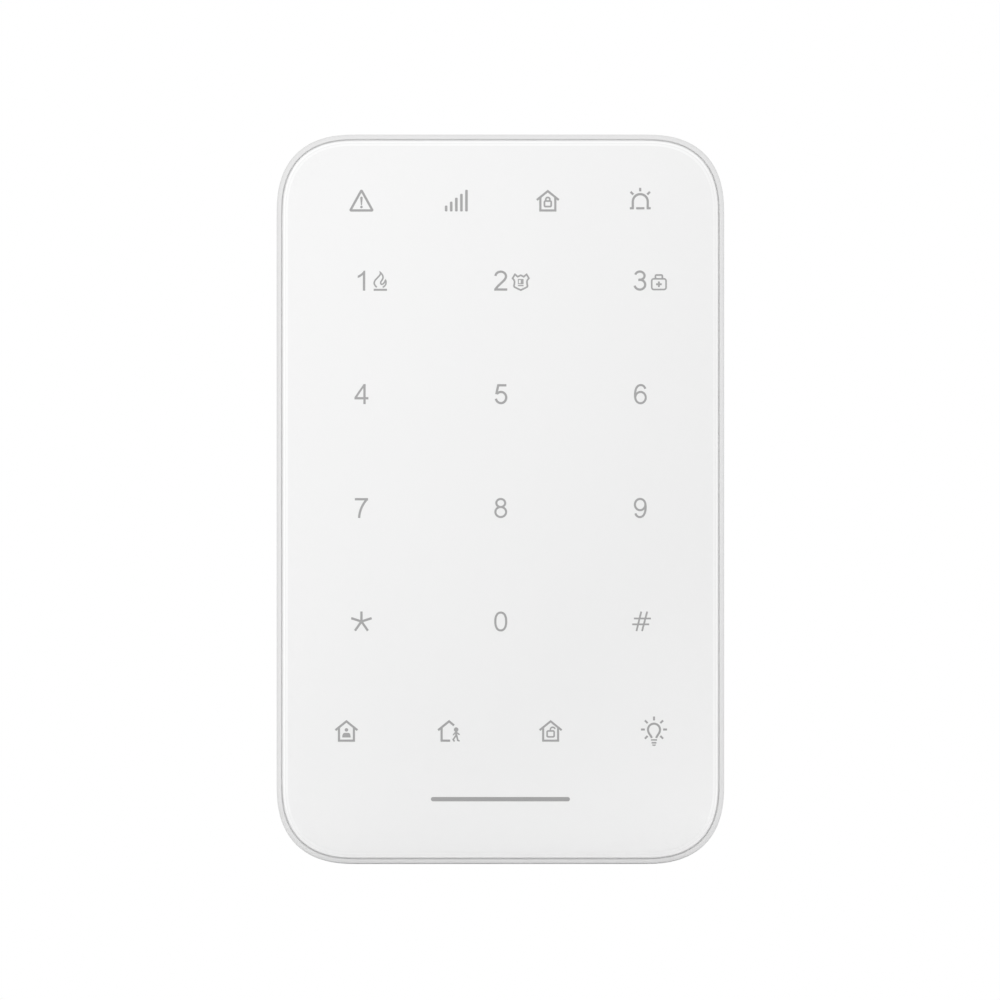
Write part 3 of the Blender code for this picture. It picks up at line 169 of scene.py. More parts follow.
def length(name, description, millimetres, **limits):
    return amount(name, description, millimetres * MM, unit="LENGTH", precision=5, **limits)


class KeypadSizes(PropertyGroup):
    """The sizes that a maker would change."""

    ink_height: length("Ink height", "How far the marks stand proud of the panel", 0.02, min=0.0)
    digit_stroke: length("Digit stroke", "Width of the line that the digits are drawn with", 0.48)
    symbol_stroke: length("Symbol stroke", "Width of the line that the symbols are drawn with", 0.46)
    seal_reach: length("Seal reach", "How far the panel's seal reaches towards the rim", 0.24)
    seal_depth: length("Seal depth", "How far the panel's seal lies below the rim", 0.27)
    panel_round: length("Panel edge round", "Width of the polished edge round the panel", 0.46)
    panel_step: length("Panel step", "Rise from the panel's shoulder to its flat face", 0.02)
    name_bar_length: length("Name bar length", "Length of the plain bar below the keys", 29.2)


def paint(name, description, value):
    return bpy.props.FloatVectorProperty(
        name=name, description=description, default=value, size=3, subtype="COLOR", min=0.0, max=1.0
    )


class KeypadColours(PropertyGroup):
    """The colours that a maker would change."""

    panel: paint("Panel", "White of the touch panel", (0.79, 0.79, 0.79))
    legend: paint("Legend", "Grey of the printed digits and symbols", (0.315, 0.315, 0.315))
    case: paint("Case", "White of the two moulded shells", (0.725, 0.725, 0.725))
    bracket: paint("Bracket", "White of the wall bracket", (0.76, 0.76, 0.75))
    shield: paint("Light shield", "White of the light shield", (0.85, 0.85, 0.83))
    board: paint("Board", "Green of the solder mask", (0.015, 0.13, 0.055))
    jacket: paint("Battery jacket", "Colour of the battery cells' jackets", (0.05, 0.11, 0.19))
    band: paint("Battery band", "Colour of the band at a cell's positive end", (0.62, 0.40, 0.12))


class KeypadStage(PropertyGroup):
    """The floor and the light."""

    room_light: amount("Room light", "Strength of the even light from all round", 1.0, min=0.0)
    card_light: amount("Card light", "Brightness of the reflected card's upper left", 2.4, min=0.0)
    window_light: amount("Window light", "Power of the soft light at the upper left", 0.22, unit="POWER")
    floor_reach: amount("Floor reach", "Width of the floor", 6.0, min=0.5, unit="LENGTH")


# Outlines, in millimetres: x to the right and z up


def arc(x, z, reach_x, reach_z, start, end, steps=20):
    """Points along an ellipse from one angle to another, in degrees."""
    angles = [math.radians(start + (end - start) * step / steps) for step in range(steps + 1)]
    return [(x + reach_x * math.cos(angle), z + reach_z * math.sin(angle)) for angle in angles]


def blend(points, weights):
    """The weighted sum of some points."""
    return tuple(sum(weight * point[axis] for weight, point in zip(weights, points)) for axis in (0, 1))


def sweep(first, second, third, fourth, steps=10):
    """Points along a Bezier curve."""
    points = []
    for step in range(steps + 1):
        t = step / steps
        weights = ((1 - t) ** 3, 3 * t * (1 - t) ** 2, 3 * t * t * (1 - t), t**3)
        points.append(blend((first, second, third, fourth), weights))
    return points


def through(points, steps=6):
    """A smooth curve that passes through every point."""
    ends = [points[0], *points, points[-1]]
    made = []
    for corners in zip(ends, ends[1:], ends[2:], ends[3:]):
        for step in range(steps):
            t = step / steps
            weights = (-t + 2 * t**2 - t**3, 2 - 5 * t**2 + 3 * t**3, t + 4 * t**2 - 3 * t**3, t**3 - t**2)
            made.append(blend(corners, [weight / 2 for weight in weights]))
    return [*made, points[-1]]


def joined(*runs):
    """Several runs of points as one, without the doubled ends."""
    points = []
    for run in runs:
        for point in run:
            if not points or math.dist(point, points[-1]) > JOIN_WITHIN:
                points.append(point)
    return points


def rounded(corners, radius, steps=6):
    """A closed outline whose corners are rounded."""
    points = []
    for index, corner in enumerate(corners):
        here = Vector(corner)
        before = (Vector(corners[index - 1]) - here).normalized()
        after = (Vector(corners[(index + 1) % len(corners)]) - here).normalized()
        half = before.angle(after) / 2
        run = radius / math.tan(half)
        first, last = here + before * run, here + after * run
        middle = here + (before + after).normalized() * (radius / math.sin(half))
        start = first - middle
        turn = start.angle_signed(last - middle)
        for step in range(steps + 1):
            angle = -turn * step / steps
            x = middle.x + start.x * math.cos(angle) - start.y * math.sin(angle)
            points.append((x, middle.y + start.x * math.sin(angle) + start.y * math.cos(angle)))
    return points


def box_outline(low_x, high_x, low_z, high_z):
    return [(high_x, high_z), (low_x, high_z), (low_x, low_z), (high_x, low_z)]


def bulged(value, power):
    """A cosine or sine, pushed outwards as a superellipse's is."""
    return math.copysign(abs(value) ** (2 / power), value)


def ring_of(reach_x, reach_z, power, steps, x=0.0, z=0.0):
    """A closed superellipse."""
    angles = [2 * math.pi * step / steps for step in range(steps)]
    return [
        (x + reach_x * bulged(math.cos(angle), power), z + reach_z * bulged(math.sin(angle), power))
        for angle in angles
    ]


def keypad_outline(inset, corner_steps=40):
    """The touch panel's outline, moved inwards."""
    half_x = PANEL_HIGH.x / MM - inset
    half_z = PANEL_HIGH.z / MM - inset
    reach = CORNER_REACH - inset
    points = []
    for side_x, side_z, rising in ((1, 1, True), (-1, 1, False), (-1, -1, True), (1, -1, False)):
        for step in range(corner_steps + 1):
            share = step / corner_steps if rising else 1 - step / corner_steps
            angle = share * math.pi / 2
            along_x = reach * bulged(math.cos(angle), CORNER_POWER)
            along_z = reach * bulged(math.sin(angle), CORNER_POWER)
            points.append((side_x * (half_x - reach + along_x), side_z * (half_z - reach + along_z)))
    return points


# Printed marks. Each is a list of flat solids in millimetres, which are then united


def turned(vector):
    return Vector((-vector.y, vector.x))


def strip(path, width, closed=False):
    """The two edges of a stroke along a path, mitred at its corners."""
    points = [Vector(point) for point in path]
    count = len(points)
    left, right = [], []
    for index, here in enumerate(points):
        before = points[index - 1] if closed or index else None
        after = points[(index + 1) % count] if closed or index < count - 1 else None
        sides = []
        if before is not None:
            sides.append(turned((here - before).normalized()))
        if after is not None:
            sides.append(turned((after - here).normalized()))
        middle = sum(sides, Vector((0.0, 0.0))).normalized()
        reach = width / 2 / max(0.4, middle.dot(sides[0]))
        left.append(here + middle * reach)
        right.append(here - middle * reach)
    return {"left": left, "right": right, "closed": closed}


def plate(outline):
    return {"outline": [Vector(point) for point in outline]}


def disc(x, z, radius, steps=24):
    return plate(arc(x, z, radius, radius, 0, 360 * (steps - 1) / steps, steps - 1))


def round_ended(path, width):
    """A stroke whose two ends are round."""
    return [strip(path, width), disc(*path[0], width / 2, 16), disc(*path[-1], width / 2, 16)]


def finished(made, name):
    """The mesh of a sculpted shape, which is then let go."""
    mesh = bpy.data.meshes.new(name)
    made.to_mesh(mesh)
    made.free()
    return mesh


def placed(name, data):
    """A new object in the scene."""
    made = bpy.data.objects.new(name, data)
    bpy.context.scene.collection.objects.link(made)
    return made


def as_mesh(shape, thickness):
    """One solid of a mark, standing on y 0 and reaching towards -y."""
    made = bmesh.new()

    def row(points, y):
        return [made.verts.new((point.x, y, point.y)) for point in points]

    if "outline" in shape:
        back, front = row(shape["outline"], 0.0), row(shape["outline"], -thickness)
        made.faces.new(front)
        made.faces.new(reversed(back))
        for index in range(len(back)):
            after = (index + 1) % len(back)
            made.faces.new((front[index], back[index], back[after], front[after]))
    else:
        corners = (("left", 0.0), ("left", -thickness), ("right", -thickness), ("right", 0.0))
        rows = [row(shape[side], y) for side, y in corners]
        count = len(rows[0])
        for index in range(count if shape["closed"] else count - 1):
            after = (index + 1) % count
            for side in range(4):
                other = (side + 1) % 4
                made.faces.new((rows[side][index], rows[side][after], rows[other][after], rows[other][index]))
        if not shape["closed"]:
            made.faces.new([line[0] for line in rows])
            made.faces.new([line[-1] for line in reversed(rows)])
    bmesh.ops.recalc_face_normals(made, faces=made.faces)
    return finished(made, "stroke")


def united(solids):
    """One mesh from solids that overlap."""
    link = bpy.context.scene.collection.objects.link
    first, *others = (bpy.data.objects.new("stroke", mesh) for mesh in solids)
    link(first)
    group = bpy.data.collections.new("strokes")
    for other in others:
        group.objects.link(other)
    if others:
        join = first.modifiers.new("join", "BOOLEAN")
        join.operation = "UNION"
        join.operand_type = "COLLECTION"
        join.collection = group
        join.solver = "EXACT"
        join.use_self = True
    bpy.context.view_layer.update()
    mesh = bpy.data.meshes.new_from_object(first.evaluated_get(bpy.context.evaluated_depsgraph_get()))
    for spare in (first, *others):
        bpy.data.objects.remove(spare, do_unlink=True)
    bpy.data.collections.remove(group)
    return mesh


def print_mark(name, shapes, place=None):
    """Prints one mark on the panel's face, centred at its place."""
    x, z = place or PLACES[name]
    proud = bpy.context.scene.keypad_sizes.ink_height / MM
    mesh = united([as_mesh(shape, proud + INK_ROOT) for shape in shapes])
    if not mesh.polygons:
        raise RuntimeError(f"the mark {name} came out empty")
    mesh.name = name
    for vertex in mesh.vertices:
        vertex.co = Vector((vertex.co.x + x, vertex.co.y + PANEL_FACE + INK_ROOT, vertex.co.z + z)) * MM
    mesh.materials.clear()
    mesh.materials.append(legend_ink())
    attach(placed(name, mesh), "keypad")


def half_turn(path):
    return [(-x, -z) for x, z in path]


def digit_shapes(width):
    """The strokes of every digit, about its own middle. Round digits take a slightly finer line."""
    fine = width * FINE_SHARE
    bowl = ring_of(1.10, 1.185, 2.0, 40, 0.04, -0.725)
    tail = joined(
        sweep((1.03, 1.12), (0.88, 1.66), (0.52, 1.90), (0.10, 1.90)),
        sweep((0.10, 1.90), (-0.72, 1.90), (-1.12, 1.05), (-1.12, -0.30)),
        [(-1.08, -0.75)],
    )
    arms = ((90, 2.10), (162, 2.26), (235, 2.36), (305, 2.36), (18, 2.26))
    tips = [arc(0.0, 0.0, reach, reach, angle, angle, 1)[0] for angle, reach in arms]
    across, down = HASH_STROKES
    return {
        "one": [
            plate(
                joined(
                    [(0.79, 2.1), (0.47, 2.1)],
                    sweep((0.47, 2.1), (0.25, 1.62), (-0.2, 1.32), (-0.79, 1.04)),
                    [(-0.79, 0.56)],
                    sweep((-0.79, 0.56), (-0.3, 0.72), (0.1, 0.98), (0.305, 1.22)),
                    [(0.305, -2.1), (0.79, -2.1)],
                )
            )
        ],
        "two": [
            strip(
                joined(
                    arc(0, 0.93, 1.10, 0.96, 176, -15, 24),
                    sweep((1.063, 0.68), (0.85, -0.10), (-0.60, -0.90), (-1.08, -1.78)),
                ),
                width,
            ),
            strip([(-1.365, -1.86), (1.365, -1.86)], width),
        ],
        "three": [
            strip(joined(arc(-0.10, 1.04, 0.98, 0.87, 165, -90, 26), [(-0.42, 0.17)]), width),
            strip(arc(-0.10, -0.83, 1.12, 1.04, 100, -168, 28), width),
        ],
        "four": [
            strip([(0.64, -2.1), (0.64, 2.1)], width),
            strip([(-1.46, -0.87), (1.46, -0.87)], width),
            plate([(0.45, 2.1), (0.80, 2.1), (0.80, 1.45), (0.42, 1.35), (-0.90, -0.64), (-1.46, -0.64)]),
        ],
        "five": [
            strip([(1.19, 1.85), (-0.53, 1.85), (-0.93, -0.02)], width),
            strip(arc(0.05, -0.715, 1.10, 1.175, 140, -168, 30), width),
        ],
        "six": [strip(bowl, fine, closed=True), strip(tail, fine)],
        "seven": [
            strip([(-1.386, 1.84), (1.386, 1.84)], width),
            strip(sweep((1.16, 1.84), (0.2, 0.75), (-0.40, -0.55), (-0.50, -2.09), 16), width),
        ],
        "eight": [
            strip(ring_of(0.93, 0.84, 2.0, 36, 0.0, 1.05), fine, closed=True),
            strip(ring_of(1.13, 1.055, 2.0, 40, 0.0, -0.84), fine, closed=True),
        ],
        "nine": [strip(half_turn(bowl), fine, closed=True), strip(half_turn(tail), fine)],
        "star": [strip([(0.0, 0.0), tip], STAR_STROKE) for tip in tips],
        "nought": [strip(ring_of(1.14, 1.87, 2.3, 48), fine, closed=True)],
        "hash": [
            strip([(-1.34, 0.63), (2.22, 0.63)], across),
            strip([(-1.70, -0.60), (1.86, -0.60)], across),
            strip([(0.20, 2.08), (-0.82, -2.02)], down),
            strip([(1.44, 2.08), (0.36, -2.02)], down),
        ],
    }


def house(width):
    """The roof and the walls of a house."""
    half, eaves, ridge = HOUSE_ROOF
    wall, low, top = HOUSE_WALL
    return [
        strip([(-half, eaves), (0.0, ridge), (half, eaves)], width),
        strip([(-wall, top), (-wall, low), (wall, low), (wall, top)], width),
    ]


def padlock(low, high, half, stroke):
    """A padlock's body, between two heights."""
    inner = half - stroke / 2
    outline = box_outline(-inner, inner, low + stroke / 2, high - stroke / 2)
    return strip(rounded(outline, 0.24), stroke, closed=True)


def ray(x, z, angle, length, width=0.46):
    """A short stroke centred at x and z."""
    along = Vector((math.cos(math.radians(angle)), math.sin(math.radians(angle)))) * length / 2
    return strip([(x - along.x, z - along.y), (x + along.x, z + along.y)], width)


def flame():
    left = [(-0.74, -1.45), (-1.11, -1.03), (-1.28, -0.56), (-1.09, 0.0), (-0.60, 0.54)]
    left += [(-0.12, 1.06), (0.05, 1.45)]
    middle = [(-0.02, 1.72), (0.23, 1.42), (0.50, 1.00), (0.56, 0.50), (0.34, 0.02), (0.10, -0.34)]
    middle += [(0.10, -0.66), (0.31, -0.84), (0.62, -0.70), (0.89, -0.38), (1.06, -0.02)]
    right = [(1.13, 0.05), (1.20, -0.34), (1.16, -0.76), (0.93, -1.14), (0.52, -1.47)]
    return [
        *(strip(through(tongue), FLAME_STROKE) for tongue in (left, middle, right)),
        plate([(-0.24, 2.0), (0.13, 1.78), (0.36, 1.50), (0.10, 1.22), (-0.12, 1.18), (-0.08, 1.52)]),
        plate([(1.06, 0.36), (1.25, 0.0), (1.36, -0.36), (1.05, -0.42), (0.82, -0.38), (0.95, -0.04)]),
        strip([(-1.40, -1.98), (1.40, -1.98)], 0.42),
    ]


def badge():
    right = [(0.0, 1.44), (0.64, 1.13), (1.22, 1.62), (1.71, 0.80), (1.42, 0.46), (1.30, 0.10)]
    right += [(1.33, -0.36), (1.42, -0.78), (1.36, -0.98), (1.10, -1.16), (0.0, -1.68)]
    left = [(-x, z) for x, z in reversed(right[1:-1])]
    return [
        strip([*right, *left], 0.36, closed=True),
        plate(box_outline(0.0, 0.59, -0.43, 0.65)),
        strip([(0.0, 0.56), (-0.50, 0.56), (-0.50, -0.33), (0.0, -0.33)], 0.20),
        strip([(-0.59, -0.73), (0.59, -0.73)], 0.26),
    ]


def first_aid_case():
    return [
        strip(rounded(box_outline(-1.51, 1.51, -1.53, 0.72), 0.46), 0.34, closed=True),
        strip(
            joined(
                [(-0.72, 0.72)],
                arc(-0.50, 1.30, 0.22, 0.22, 180, 90, 6),
                arc(0.50, 1.30, 0.22, 0.22, 90, 0, 6),
                [(0.72, 0.72)],
            ),
            0.36,
        ),
        strip([(-0.59, -0.43), (0.59, -0.43)], 0.40),
        strip([(0.0, -1.01), (0.0, 0.15)], 0.40),
    ]


def warning_triangle(width):
    return [
        strip(rounded([(0.0, 2.16), (-2.34, -2.06), (2.34, -2.06)], 0.10, 4), width, closed=True),
        plate([(-0.26, 0.60), (0.26, 0.60), (0.11, -0.97), (-0.11, -0.97)]),
        disc(0.0, 0.58, 0.26),
        disc(0.0, -1.34, 0.27),
    ]


def signal_bars():
    shapes = []
    for x, top in zip((-2.14, -1.07, 0.0, 1.07, 2.13), (-1.03, -0.21, 0.61, 1.43, 2.27)):
        shapes.append(plate(rounded(box_outline(x - 0.27, x + 0.27, -2.27, top), 0.16, 4)))
    return shapes


def siren(width):
    arch = joined([(-1.57, -1.60)], arc(0.0, -0.21, 1.57, 1.57, 180, 0, 28), [(1.57, -1.60)])
    feet = ((-2.19, -1.34), (1.34, 2.19), (-0.87, 0.87))
    return [
        strip(arch, width),
        *(strip([(low, -1.60), (high, -1.60)], 0.46) for low, high in feet),
        ray(-0.02, 2.32, 90, 0.74),
        ray(-1.75, 1.58, -45, 0.80),
        ray(1.75, 1.58, 45, 0.80),
    ]


def house_locked(width):
    shackle = joined([(-0.43, -0.10)], arc(0.0, 0.28, 0.43, 0.38, 180, 0, 14), [(0.43, -0.10)])
    return [*house(width), padlock(-1.43, 0.11, 0.89, 0.37), strip(shackle, 0.36)]


def house_open(width):
    shackle = through([(-0.05, -0.04), (-0.05, 0.38), (0.18, 0.70), (0.60, 0.74), (0.98, 0.44)])
    return [*house(width), padlock(-1.43, 0.15, 0.91, 0.34), strip(shackle, 0.32)]


def house_person(width):
    torso = joined(
        [(-0.90, -1.39)],
        sweep((-0.90, -1.39), (-0.86, -0.80), (-0.70, -0.42), (-0.42, -0.42), 6),
        sweep((0.42, -0.42), (0.70, -0.42), (0.86, -0.80), (0.90, -1.39), 6),
    )
    return [*house(width), disc(0.0, 0.21, 0.37), plate(torso)]


def house_leaving(width):
    half, eaves, ridge = HOUSE_ROOF
    wall, low, top = HOUSE_WALL
    return [
        strip([(-half, eaves), (0.0, ridge), (1.04, 1.14)], width),
        strip([(-wall, top), (-wall, low), (0.22, low)], width),
        disc(1.48, 0.26, 0.48),
        strip([(1.49, 0.0), (1.50, -1.12)], 0.42),
        *round_ended([(1.36, -0.32), (0.93, -0.80)], 0.30),
        *round_ended([(1.62, -0.38), (2.10, -0.74)], 0.30),
        *round_ended([(1.43, -1.00), (0.86, -1.84), (1.06, -2.12)], 0.34),
        *round_ended([(1.60, -1.00), (1.82, -1.98), (2.08, -2.08)], 0.34),
    ]


def bulb():
    glass = joined(
        [(-0.46, -1.42)],
        sweep((-0.46, -1.42), (-0.62, -0.90), (-1.24, -0.42), (-1.27, 0.30), 8),
        arc(0.0, 0.32, 1.27, 1.26, 180, 0, 24),
        sweep((1.27, 0.30), (1.24, -0.42), (0.62, -0.90), (0.46, -1.42), 8),
    )
    shapes = [
        strip(glass, 0.44),
        strip([(-0.64, -1.83), (0.64, -1.83)], 0.30),
        strip([(-0.51, -2.42), (0.51, -2.42)], 0.34),
        plate(joined([(0.42, -2.79), (-0.42, -2.79)], arc(0.0, -2.82, 0.40, 0.28, 180, 360, 10))),
    ]
    rays = [(0.0, 2.68, 90), (-2.33, 0.36, 0), (2.33, 0.36, 0), (-1.62, 1.98, -45), (1.62, 1.98, 45)]
    rays += [(-1.62, -1.28, 45), (1.62, -1.28, -45)]
    return shapes + [ray(*place, 0.82, 0.42) for place in rays]


# Finishes


def node(tree, kind, sockets=None, **settings):
    """Adds a shader node. A socket takes a value or another node's output."""
    made = tree.nodes.new(kind)
    for name, value in settings.items():
        setattr(made, name, value)
    for name, value in (sockets or {}).items():
        if isinstance(value, bpy.types.NodeSocket):
            tree.links.new(value, made.inputs[name])
        else:
            made.inputs[name].default_value = value
    return made


def surface(tree, shader, base, rough, direction):
    """Wires the colour, the roughness and the direction of a surface into its shader."""
    for name, value in (("Base Color", base), ("Roughness", rough), ("Normal", direction)):
        tree.links.new(value, shader.inputs[name])


def shade(colour, factor):
    return (*(min(1.0, part * factor) for part in colour), 1.0)


def cloud(tree, where, size, detail, roughness=0.55, stretch=None):
    """Soft noise, from 0 to 1, whose patches are about this many millimetres across."""
    if stretch:
        where = node(tree, "ShaderNodeMapping", {"Vector": where, "Scale": stretch}).outputs["Vector"]
    sockets = {"Vector": where, "Scale": 1.0 / (size * MM), "Detail": detail, "Roughness": roughness}
    return node(tree, "ShaderNodeTexNoise", sockets).outputs["Fac"]


def cells(tree, where, size, **settings):
    """Distance to the nearest of many scattered points that are about this many millimetres apart."""
    sockets = {"Vector": where, "Scale": 1.0 / (size * MM)}
    return node(tree, "ShaderNodeTexVoronoi", sockets, **settings).outputs["Distance"]


def spread(tree, value, low, high, to_low, to_high):
    """Takes a value in one range to another range, and holds it there."""
    sockets = {"Value": value, "From Min": low, "From Max": high, "To Min": to_low, "To Max": to_high}
    return node(tree, "ShaderNodeMapRange", sockets).outputs["Result"]


def combined(tree, first, second, operation="MULTIPLY"):
    return node(tree, "ShaderNodeMath", {0: first, 1: second}, operation=operation).outputs[0]


def tint(tree, factor, first, second):
    """Mixes two colours by a factor."""
    return node(tree, "ShaderNodeMix", {0: factor, 6: first, 7: second}, data_type="RGBA").outputs[2]


def along(tree, where, axis):
    return node(tree, "ShaderNodeSeparateXYZ", {"Vector": where}).outputs[axis]


def window(tree, value, low, high, soft=0.02):
    """1 between low and high, in millimetres, and 0 outside."""
    rising = spread(tree, value, (low - soft) * MM, (low + soft) * MM, 0.0, 1.0)
    falling = spread(tree, value, (high - soft) * MM, (high + soft) * MM, 1.0, 0.0)
    return combined(tree, rising, falling)


def softened(tree, radius):
    """The surface's direction with its edges rounded by this many millimetres, and a mask of those edges."""
    bevel = node(tree, "ShaderNodeBevel", {"Radius": radius * MM}, samples=4).outputs["Normal"]
    flat = node(tree, "ShaderNodeNewGeometry").outputs["Normal"]
    near = node(tree, "ShaderNodeVectorMath", {0: bevel, 1: flat}, operation="DOT_PRODUCT")
    return bevel, spread(tree, near.outputs["Value"], 0.995, 0.80, 0.0, 1.0)


def bumped(tree, height, depth, direction=None):
    """The surface's direction with a relief of this many millimetres."""
    sockets = {"Height": height, "Distance": depth * MM, "Strength": 1.0}
    if direction is not None:
        sockets["Normal"] = direction
    return node(tree, "ShaderNodeBump", sockets).outputs["Normal"]


def new_finish(name):
    """A new material: its tree, its shader and the object's own coordinates."""
    material = bpy.data.materials.new(name)
    material.use_nodes = True
    tree = material.node_tree
    where = node(tree, "ShaderNodeTexCoord").outputs["Object"]
    return material, tree, tree.nodes["Principled BSDF"], where


def moulded(name, colour, roughness, grain, depth, rounding, clouding=0.02):
    """Moulded plastic with a fine texture, faint flow marks and soft edges that are a little rubbed: smoother
    from wear, and paler partly from wear and partly as a painted highlight.
    """
    material, tree, shader, where = new_finish(name)
    flow = cloud(tree, where, 38.0, 2.0)
    texture = cloud(tree, where, grain, 4.0, 0.6)
    pits = cells(tree, where, grain * 1.7)
    direction, edges = softened(tree, rounding)
    scuffs = spread(tree, cloud(tree, where, 2.6, 5.0, 0.7), 0.40, 0.62, 0.0, 1.0)
    wear_and_highlight = combined(tree, combined(tree, edges, scuffs), EDGE_WEAR_AND_HIGHLIGHT)
    base = tint(tree, flow, shade(colour, 1.0 - clouding), shade(colour, 1.0 + clouding))
    base = tint(tree, spread(tree, texture, 0.3, 0.7, 0.0, 0.35), base, shade(colour, 1.0 - 1.5 * clouding))
    # Edges painted paler: partly wear, partly a painted highlight
    base = tint(tree, wear_and_highlight, base, shade(colour, 1.07))
    rough = spread(tree, combined(tree, texture, flow, "ADD"), 0.6, 1.4, roughness - 0.06, roughness + 0.07)
    rough = combined(tree, rough, combined(tree, wear_and_highlight, 0.14), "SUBTRACT")
    relief = combined(tree, texture, spread(tree, pits, 0.0, 0.8, 0.0, 0.6), "ADD")
    surface(tree, shader, base, rough, bumped(tree, relief, depth, direction))
    return material


def panel_gloss(name, colour, painted_highlight):
    """A hard white sheet with a polished coat, faint waviness and the finest specks. Above 1, the last
    argument paints the white lighter as a painted highlight for the panel's edge rings.
    """
    material, tree, shader, where = new_finish(name)
    slow = cloud(tree, where, 60.0, 2.0)
    waves = cloud(tree, where, 9.0, 2.0, 0.4)
    specks = spread(tree, cells(tree, where, 2.4), 0.0, 0.035, 1.0, 0.0)
    smears = spread(tree, cloud(tree, where, 16.0, 4.0, 0.6, (1.0, 1.0, 0.45)), 0.35, 0.75, 0.0, 1.0)
    # Above 1, the last argument paints the sheet lighter: a painted highlight
    base = tint(tree, slow, shade(colour, 0.996 * painted_highlight), shade(colour, 1.004 * painted_highlight))
    base = tint(tree, combined(tree, specks, 0.06), base, shade(colour, 0.90))
    surface(tree, shader, base, spread(tree, smears, 0.0, 1.0, 0.13, 0.17), bumped(tree, waves, 0.001))
    shader.inputs["Coat Weight"].default_value = 0.35
    shader.inputs["Coat Roughness"].default_value = 0.06
    return material


def grainy(name, dark, pale, grain, detail, smoothest, roughest, depth):
    """A thin film of ink or plastic with a fine grain."""
    material, tree, shader, where = new_finish(name)
    grains = cloud(tree, where, grain, detail, 0.6)
    rough = spread(tree, grains, 0.3, 0.7, smoothest, roughest)
    surface(tree, shader, tint(tree, grains, dark, pale), rough, bumped(tree, grains, depth))
    return material


def brushed(name, colour, roughness, scratch, stretch, spots=0.08, rounding=0.08):
    """Bare or plated metal with fine scratches along one axis, a few dull spots and a painted highlight along
    its edges.
    """
    material, tree, shader, where = new_finish(name)
    lines = cloud(tree, where, scratch, 3.0, 0.6, stretch)
    dull = spread(tree, cloud(tree, where, 3.0, 5.0, 0.65), 0.50, 0.72, 0.0, 1.0)
    direction, edges = softened(tree, rounding)
    base = tint(tree, combined(tree, dull, spots * 4), shade(colour, 1.0), shade(colour, 0.78))
    # Edges painted paler: a painted highlight
    base = tint(tree, combined(tree, edges, 0.5), base, shade(colour, 1.18))
    rough = spread(tree, lines, 0.3, 0.7, roughness - 0.08, roughness + 0.10)
    rough = combined(tree, rough, combined(tree, dull, 0.12), "ADD")
    surface(tree, shader, base, rough, bumped(tree, lines, 0.002, direction))
    shader.inputs["Metallic"].default_value = 1.0
    return material


def circuit_board(name, colour):
    """Green solder mask over copper tracks, with plated vias."""
    material, tree, shader, where = new_finish(name)
    x, z = along(tree, where, "X"), along(tree, where, "Z")
    grid = node(tree, "ShaderNodeMapping", {"Vector": where, "Scale": (1.0, 0.0, 1.0)}).outputs["Vector"]
    blocks = cells(tree, grid, TRACK_PITCH, distance="CHEBYCHEV")
    lanes = combined(tree, blocks, 0.16, "PINGPONG")
    vias = cells(tree, grid, VIA_PITCH)
    side = node(tree, "ShaderNodeMath", {0: x}, operation="ABSOLUTE").outputs[0]
    side = spread(tree, side, (ARTWORK_SIDE - 0.1) * MM, (ARTWORK_SIDE + 0.1) * MM, 1.0, 0.0)
    inside = combined(tree, side, window(tree, z, *ARTWORK_ENDS, 0.1))
    tracks = combined(tree, spread(tree, lanes, 0.06, 0.085, 0.0, 1.0), inside)
    pads = combined(tree, spread(tree, vias, 0.085, 0.10, 1.0, 0.0), inside)
    drilled = spread(tree, vias, 0.040, 0.050, 1.0, 0.0)
    holes = combined(tree, drilled, inside)
    base = tint(tree, tracks, shade(colour, 0.62), shade(colour, 1.25))
    base = tint(tree, cloud(tree, where, 14.0, 2.0), base, shade(colour, 0.9))
    base = tint(tree, combined(tree, tracks, 0.55), base, shade(colour, 1.6))
    base = tint(tree, pads, base, (0.72, 0.66, 0.50, 1.0))
    # Via holes painted near black: painted shade inside the holes
    base = tint(tree, holes, base, (0.01, 0.01, 0.01, 1.0))
    tree.links.new(combined(tree, pads, holes, "SUBTRACT"), shader.inputs["Metallic"])
    rough = spread(tree, cloud(tree, where, 1.2, 3.0), 0.3, 0.7, 0.24, 0.36)
    relief = combined(tree, tracks, combined(tree, drilled, 2.0), "SUBTRACT")
    surface(tree, shader, base, rough, bumped(tree, relief, 0.03, softened(tree, 0.08)[0]))
    return material


def cell_jacket(name, colours, low, high, upward):
    """A printed sleeve on a steel can: a coloured band at the positive end and bare metal beyond."""
    material, tree, shader, where = new_finish(name)
    z = along(tree, where, "Z")
    nub, inward = (high, -1) if upward else (low, 1)
    flat = low if upward else high
    sleeve = window(tree, z, *sorted((flat - inward * SLEEVE_ENDS[0], nub + inward * SLEEVE_ENDS[1])))
    band = window(tree, z, *sorted((nub, nub + inward * BAND_LENGTH)), 0.05)
    line_at = nub + inward * LINE_OFFSET
    line = window(tree, z, line_at - LINE_HALF_WIDTH, line_at + LINE_HALF_WIDTH, 0.03)
    worn = spread(tree, cloud(tree, where, 1.5, 5.0, 0.7, (1.0, 1.0, 0.2)), 0.55, 0.75, 0.0, 1.0)
    printed = tint(tree, band, shade(colours.jacket, 1.0), shade(colours.band, 1.0))
    printed = tint(tree, line, printed, (0.78, 0.78, 0.76, 1.0))
    printed = tint(tree, combined(tree, worn, 0.12), printed, (0.55, 0.55, 0.55, 1.0))
    base = tint(tree, sleeve, (0.66, 0.66, 0.65, 1.0), printed)
    tree.links.new(combined(tree, 1.0, sleeve, "SUBTRACT"), shader.inputs["Metallic"])
    relief = combined(tree, sleeve, combined(tree, cloud(tree, where, 0.8, 3.0), 0.3), "ADD")
    direction = bumped(tree, relief, 0.05, softened(tree, 0.12)[0])
    surface(tree, shader, base, spread(tree, worn, 0.0, 1.0, 0.26, 0.42), direction)
    shader.inputs["Coat Weight"].default_value = 0.3
    return material


